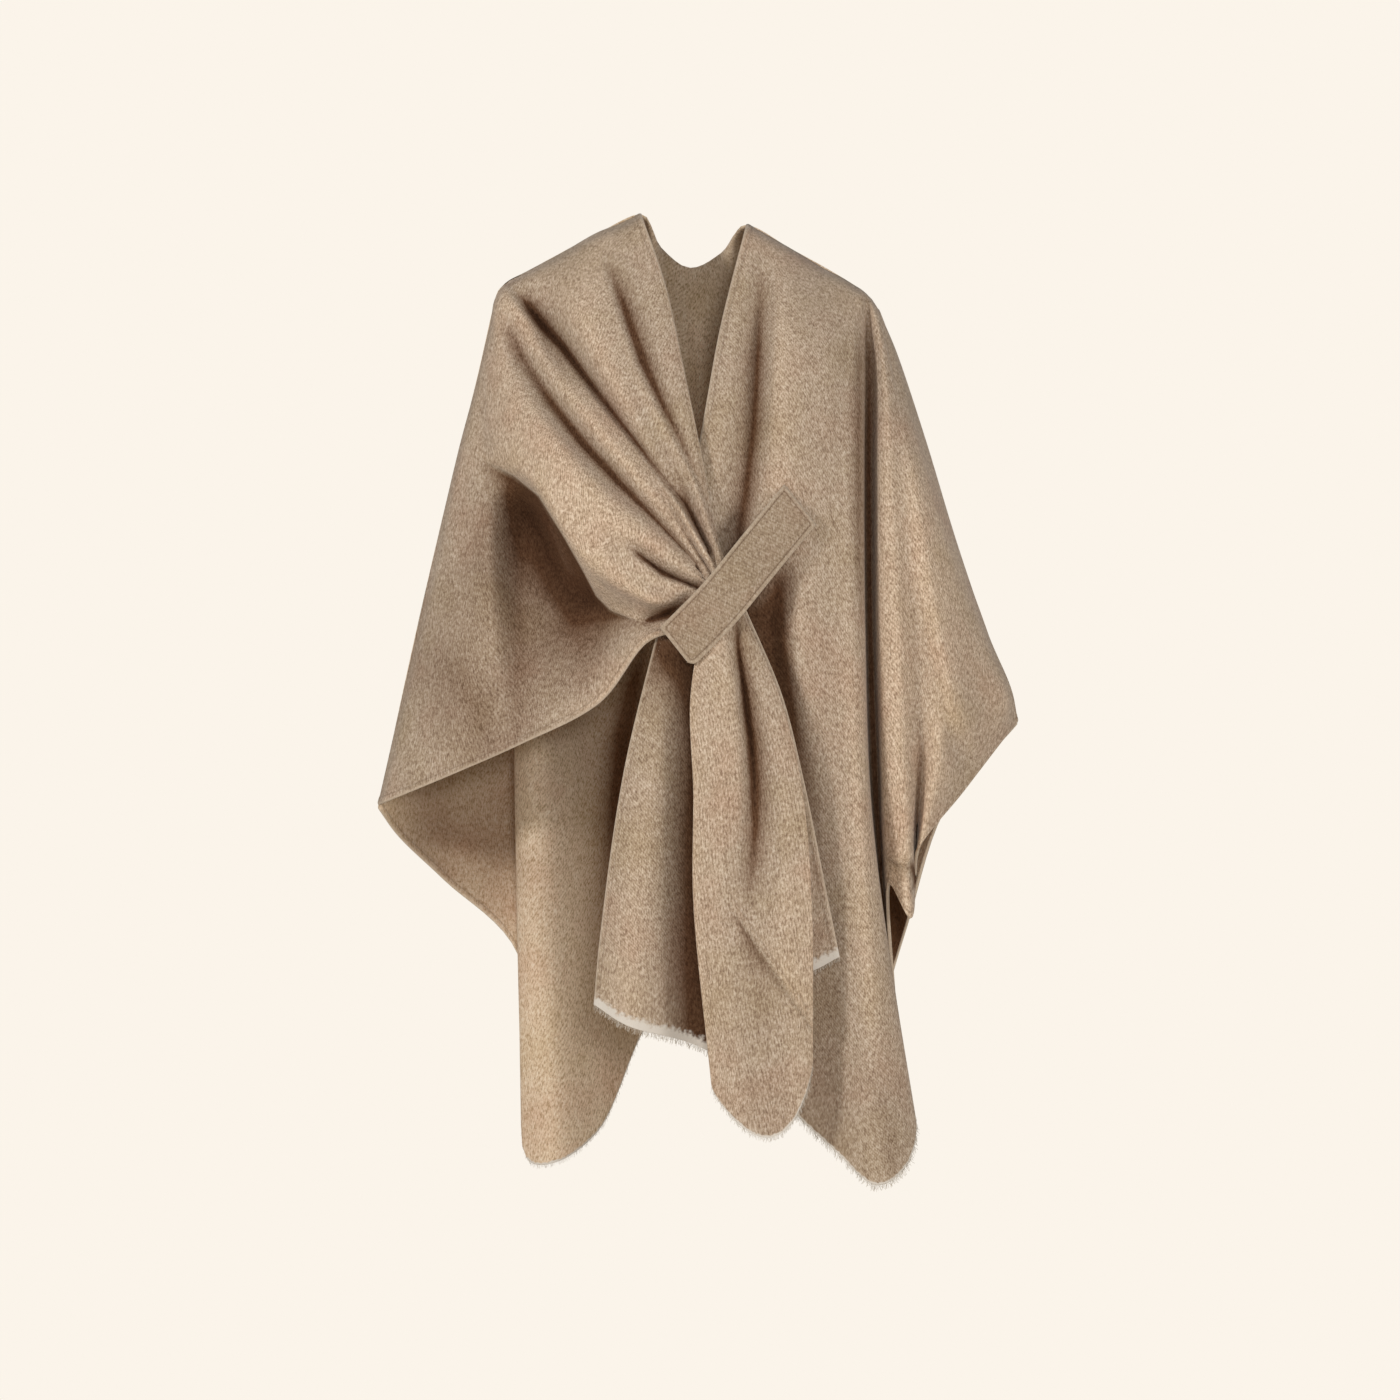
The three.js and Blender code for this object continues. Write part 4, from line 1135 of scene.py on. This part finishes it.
def round_corner(grid):
    """The band's lowest corner is rounded off."""
    down, right = run_along(grid, 0), run_along(grid, 1)
    lengthwise = 1 - np.minimum((down[-1:] - down) / BAND_CORNER, 1)
    sideways = 1 - np.minimum((right[:, -1:] - right) / BAND_CORNER, 1)
    share = np.maximum(lengthwise, sideways) / np.maximum(np.hypot(lengthwise, sideways), 1e-6)
    share = np.where((lengthwise > 0) & (sideways > 0), 1 - share, 0)[..., None] * BAND_CORNER
    along = unit_step((grid[-1:], grid[-2:-1]))
    across = unit_step((grid[:, -1:], grid[:, -2:-1]))
    return grid - share * (lengthwise[..., None] * along + sideways[..., None] * across)


def fill_gaps(row):
    """Fills the gaps of a row in place from the values beside them."""
    seen = np.flatnonzero(~np.isnan(row))
    if len(seen):
        row[:] = np.interp(np.arange(len(row)), seen, row[seen])


def band_grid():
    """The band's middle sheet, laid on the front of its solid, closer in its columns at the seams."""
    knots = np.array([[x, 0, z] for x, z in BAND_LINE], float)[:, None, :]
    line = smooth_curve(knots, np.linspace(0, 1, BAND_ROWS))[:, 0]
    across = np.array([BAND_ACROSS[0], 0, BAND_ACROSS[1]])
    shares = np.concatenate([np.linspace(*part) for part in BAND_COLUMNS])
    grid = round_corner(line[:, None] + shares[None, :, None] * across * BAND_WIDTH / 2)
    tree = cloth_tree(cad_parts["band"])
    met = [[met_from_front(tree, x, z) for x, _, z in row] for row in grid]
    face = np.array(met, float)
    for row in face:
        fill_gaps(row)
    for column in face.T:
        fill_gaps(column)
    grid[..., 1] = face + BAND_THICK / 2
    return grid


def make_band():
    """The strap over the gathered front, sewn double, and the lines of its topstitching."""
    grid = band_grid()
    normals = grid_normals(grid)
    if normals[..., 1].mean() > 0:
        normals = -normals
    along, wide = run_along(grid, 0), run_along(grid, 1)
    from_side = np.minimum(wide, wide[:, -1:] - wide)
    edge = np.minimum(from_side, np.minimum(along, along[-1:] - along))
    rim = 1 - BAND_RIM * bell(edge, BAND_RIM_WIDTH)
    groove = BAND_GROOVE * bell(edge - BAND_SEAM, BAND_GROOVE_WIDTH)
    half = (BAND_THICK / 2 + BAND_RISE * ease(edge, *BAND_FOLD) - groove) * rim
    uv = np.stack([wide, -along], -1)
    sewn, far = edge * HEM_STITCH / BAND_SEAM, np.full(edge.shape, FAR)
    marks = {"sewn": (sewn, sewn), "frayed": (far, far), "hollow": (0 * far, 0 * far)}
    down_first = np.cross(grid[1, 0] - grid[0, 0], grid[0, 1] - grid[0, 0]) @ normals[0, 0] < 0
    if down_first:
        grid, half, normals, uv = (a[::-1] for a in (grid, half, normals, uv))
        marks = {name: (a[::-1], b[::-1]) for name, (a, b) in marks.items()}
    piece = shell("band_cloth", grid, half, normals, uv, marks)
    finish_piece(piece, "band", strap_cloth)
    whole = np.ones(len(grid), bool)
    runs = inset_line(wide, grid, normals, half, whole, BAND_SEAM, 1)
    turned = (field[:, ::-1] for field in (wide[:, -1:] - wide, grid, normals, half))
    return piece, runs + inset_line(*turned, whole, BAND_SEAM, 1)


band, band_runs = make_band()

# Stitches and loose yarn ends
hem_thread = plain_yarn("Spun_wool_sewing_thread", "#C9B59D", "#A08A72")
cream_yarn = plain_yarn("Undyed_wool_yarn_ends", "#F1EADF", "#D6CAB8")
topstitch = topstitch_tree()
fraying = fray_tree()
stitch_sizes = {"Pitch": STITCH_PITCH * MM, "Length": STITCH_LENGTH * MM, "Thread": STITCH_THREAD * MM}
panels = {"back": back, "left_front": left_front, "right_front": right_front, "right_front_tail": tail}
trimmings = {}
for number, (name, panel) in enumerate(panels.items()):
    trimmings[name] = [grow(
        name + "_hem_stitches", seam_lines(panel, HEM_STITCH), topstitch, stitch_sizes, hem_thread)]
    if name in FRAY:
        length, spacing, spread = FRAY[name]
        sizes = {"Spacing": spacing * MM, "Length": length * MM, "Thread": FRAY_THREAD * MM,
                 "Spread": spread, "Seed": FRAY_SEED + number}
        trimmings[name].append(grow(
            name + "_loose_yarn", selvedge_lines(panel), fraying, sizes, cream_yarn))

# Stitches along the band
band_stitches = grow("band_stitches", band_runs, topstitch, stitch_sizes, hem_thread)


def stage_floor():
    """A plain floor of cream paper."""
    bpy.ops.mesh.primitive_circle_add(vertices=96, radius=4.5, fill_type="NGON", location=(0, 0, FLOOR))
    floor = bpy.context.object
    floor.name = "studio_floor"
    paper = bpy.data.materials.new("Cream_paper_floor")
    paper.use_nodes = True
    shader = paper.node_tree.nodes["Principled BSDF"]
    shader.inputs["Base Color"].default_value = linear("#F1E9DC")
    shader.inputs["Roughness"].default_value = 0.9
    floor.data.materials.append(paper)


def soft_room(scene):
    """Even light from all round, and a cream backdrop that only the camera sees."""
    scene.world = bpy.data.worlds.new("Soft_room")
    scene.world.use_nodes = True
    sky = scene.world.node_tree
    sky.nodes.clear()
    seen = add_node(sky, "ShaderNodeLightPath", output="Is Camera Ray")
    backdrop = add_node(sky, "ShaderNodeBackground", {"Color": linear("#FBF4EA"), "Strength": 1.0})
    room = add_node(sky, "ShaderNodeBackground", {"Color": linear("#FFF8F1"), "Strength": ROOM_LIGHT})
    both = add_node(sky, "ShaderNodeMixShader", {0: seen, 1: room, 2: backdrop})
    add_node(sky, "ShaderNodeOutputWorld", {"Surface": both})


def studio():
    """Floor, room, softboxes and a camera level with the middle of the garment."""
    scene = bpy.context.scene
    scene.view_settings.view_transform = "Standard"
    stage_floor()
    soft_room(scene)
    for name, place, size, power, colour in LAMPS:
        lamp = bpy.data.lights.new(name, "AREA")
        lamp.shape = "DISK"
        lamp.size = size
        lamp.energy = power
        lamp.color = linear(colour)[:3]
        stand = bpy.data.objects.new(name, lamp)
        stand.location = place
        aim = Vector(LAMP_AIM) - Vector(place)
        stand.rotation_euler = aim.to_track_quat("-Z", "Y").to_euler()
        scene.collection.objects.link(stand)
    lens = bpy.data.cameras.new("Camera")
    lens.sensor_width = 36.0
    lens.lens = lens.sensor_width * (CAMERA_AWAY - FRONT_DEPTH) / FRAME_WIDTH
    lens.clip_end = 100.0
    camera = bpy.data.objects.new("Camera", lens)
    camera.location = (CAMERA_X, -CAMERA_AWAY, CAMERA_Z)
    camera.rotation_euler = (math.radians(90), 0, 0)
    scene.collection.objects.link(camera)
    scene.camera = camera


studio()
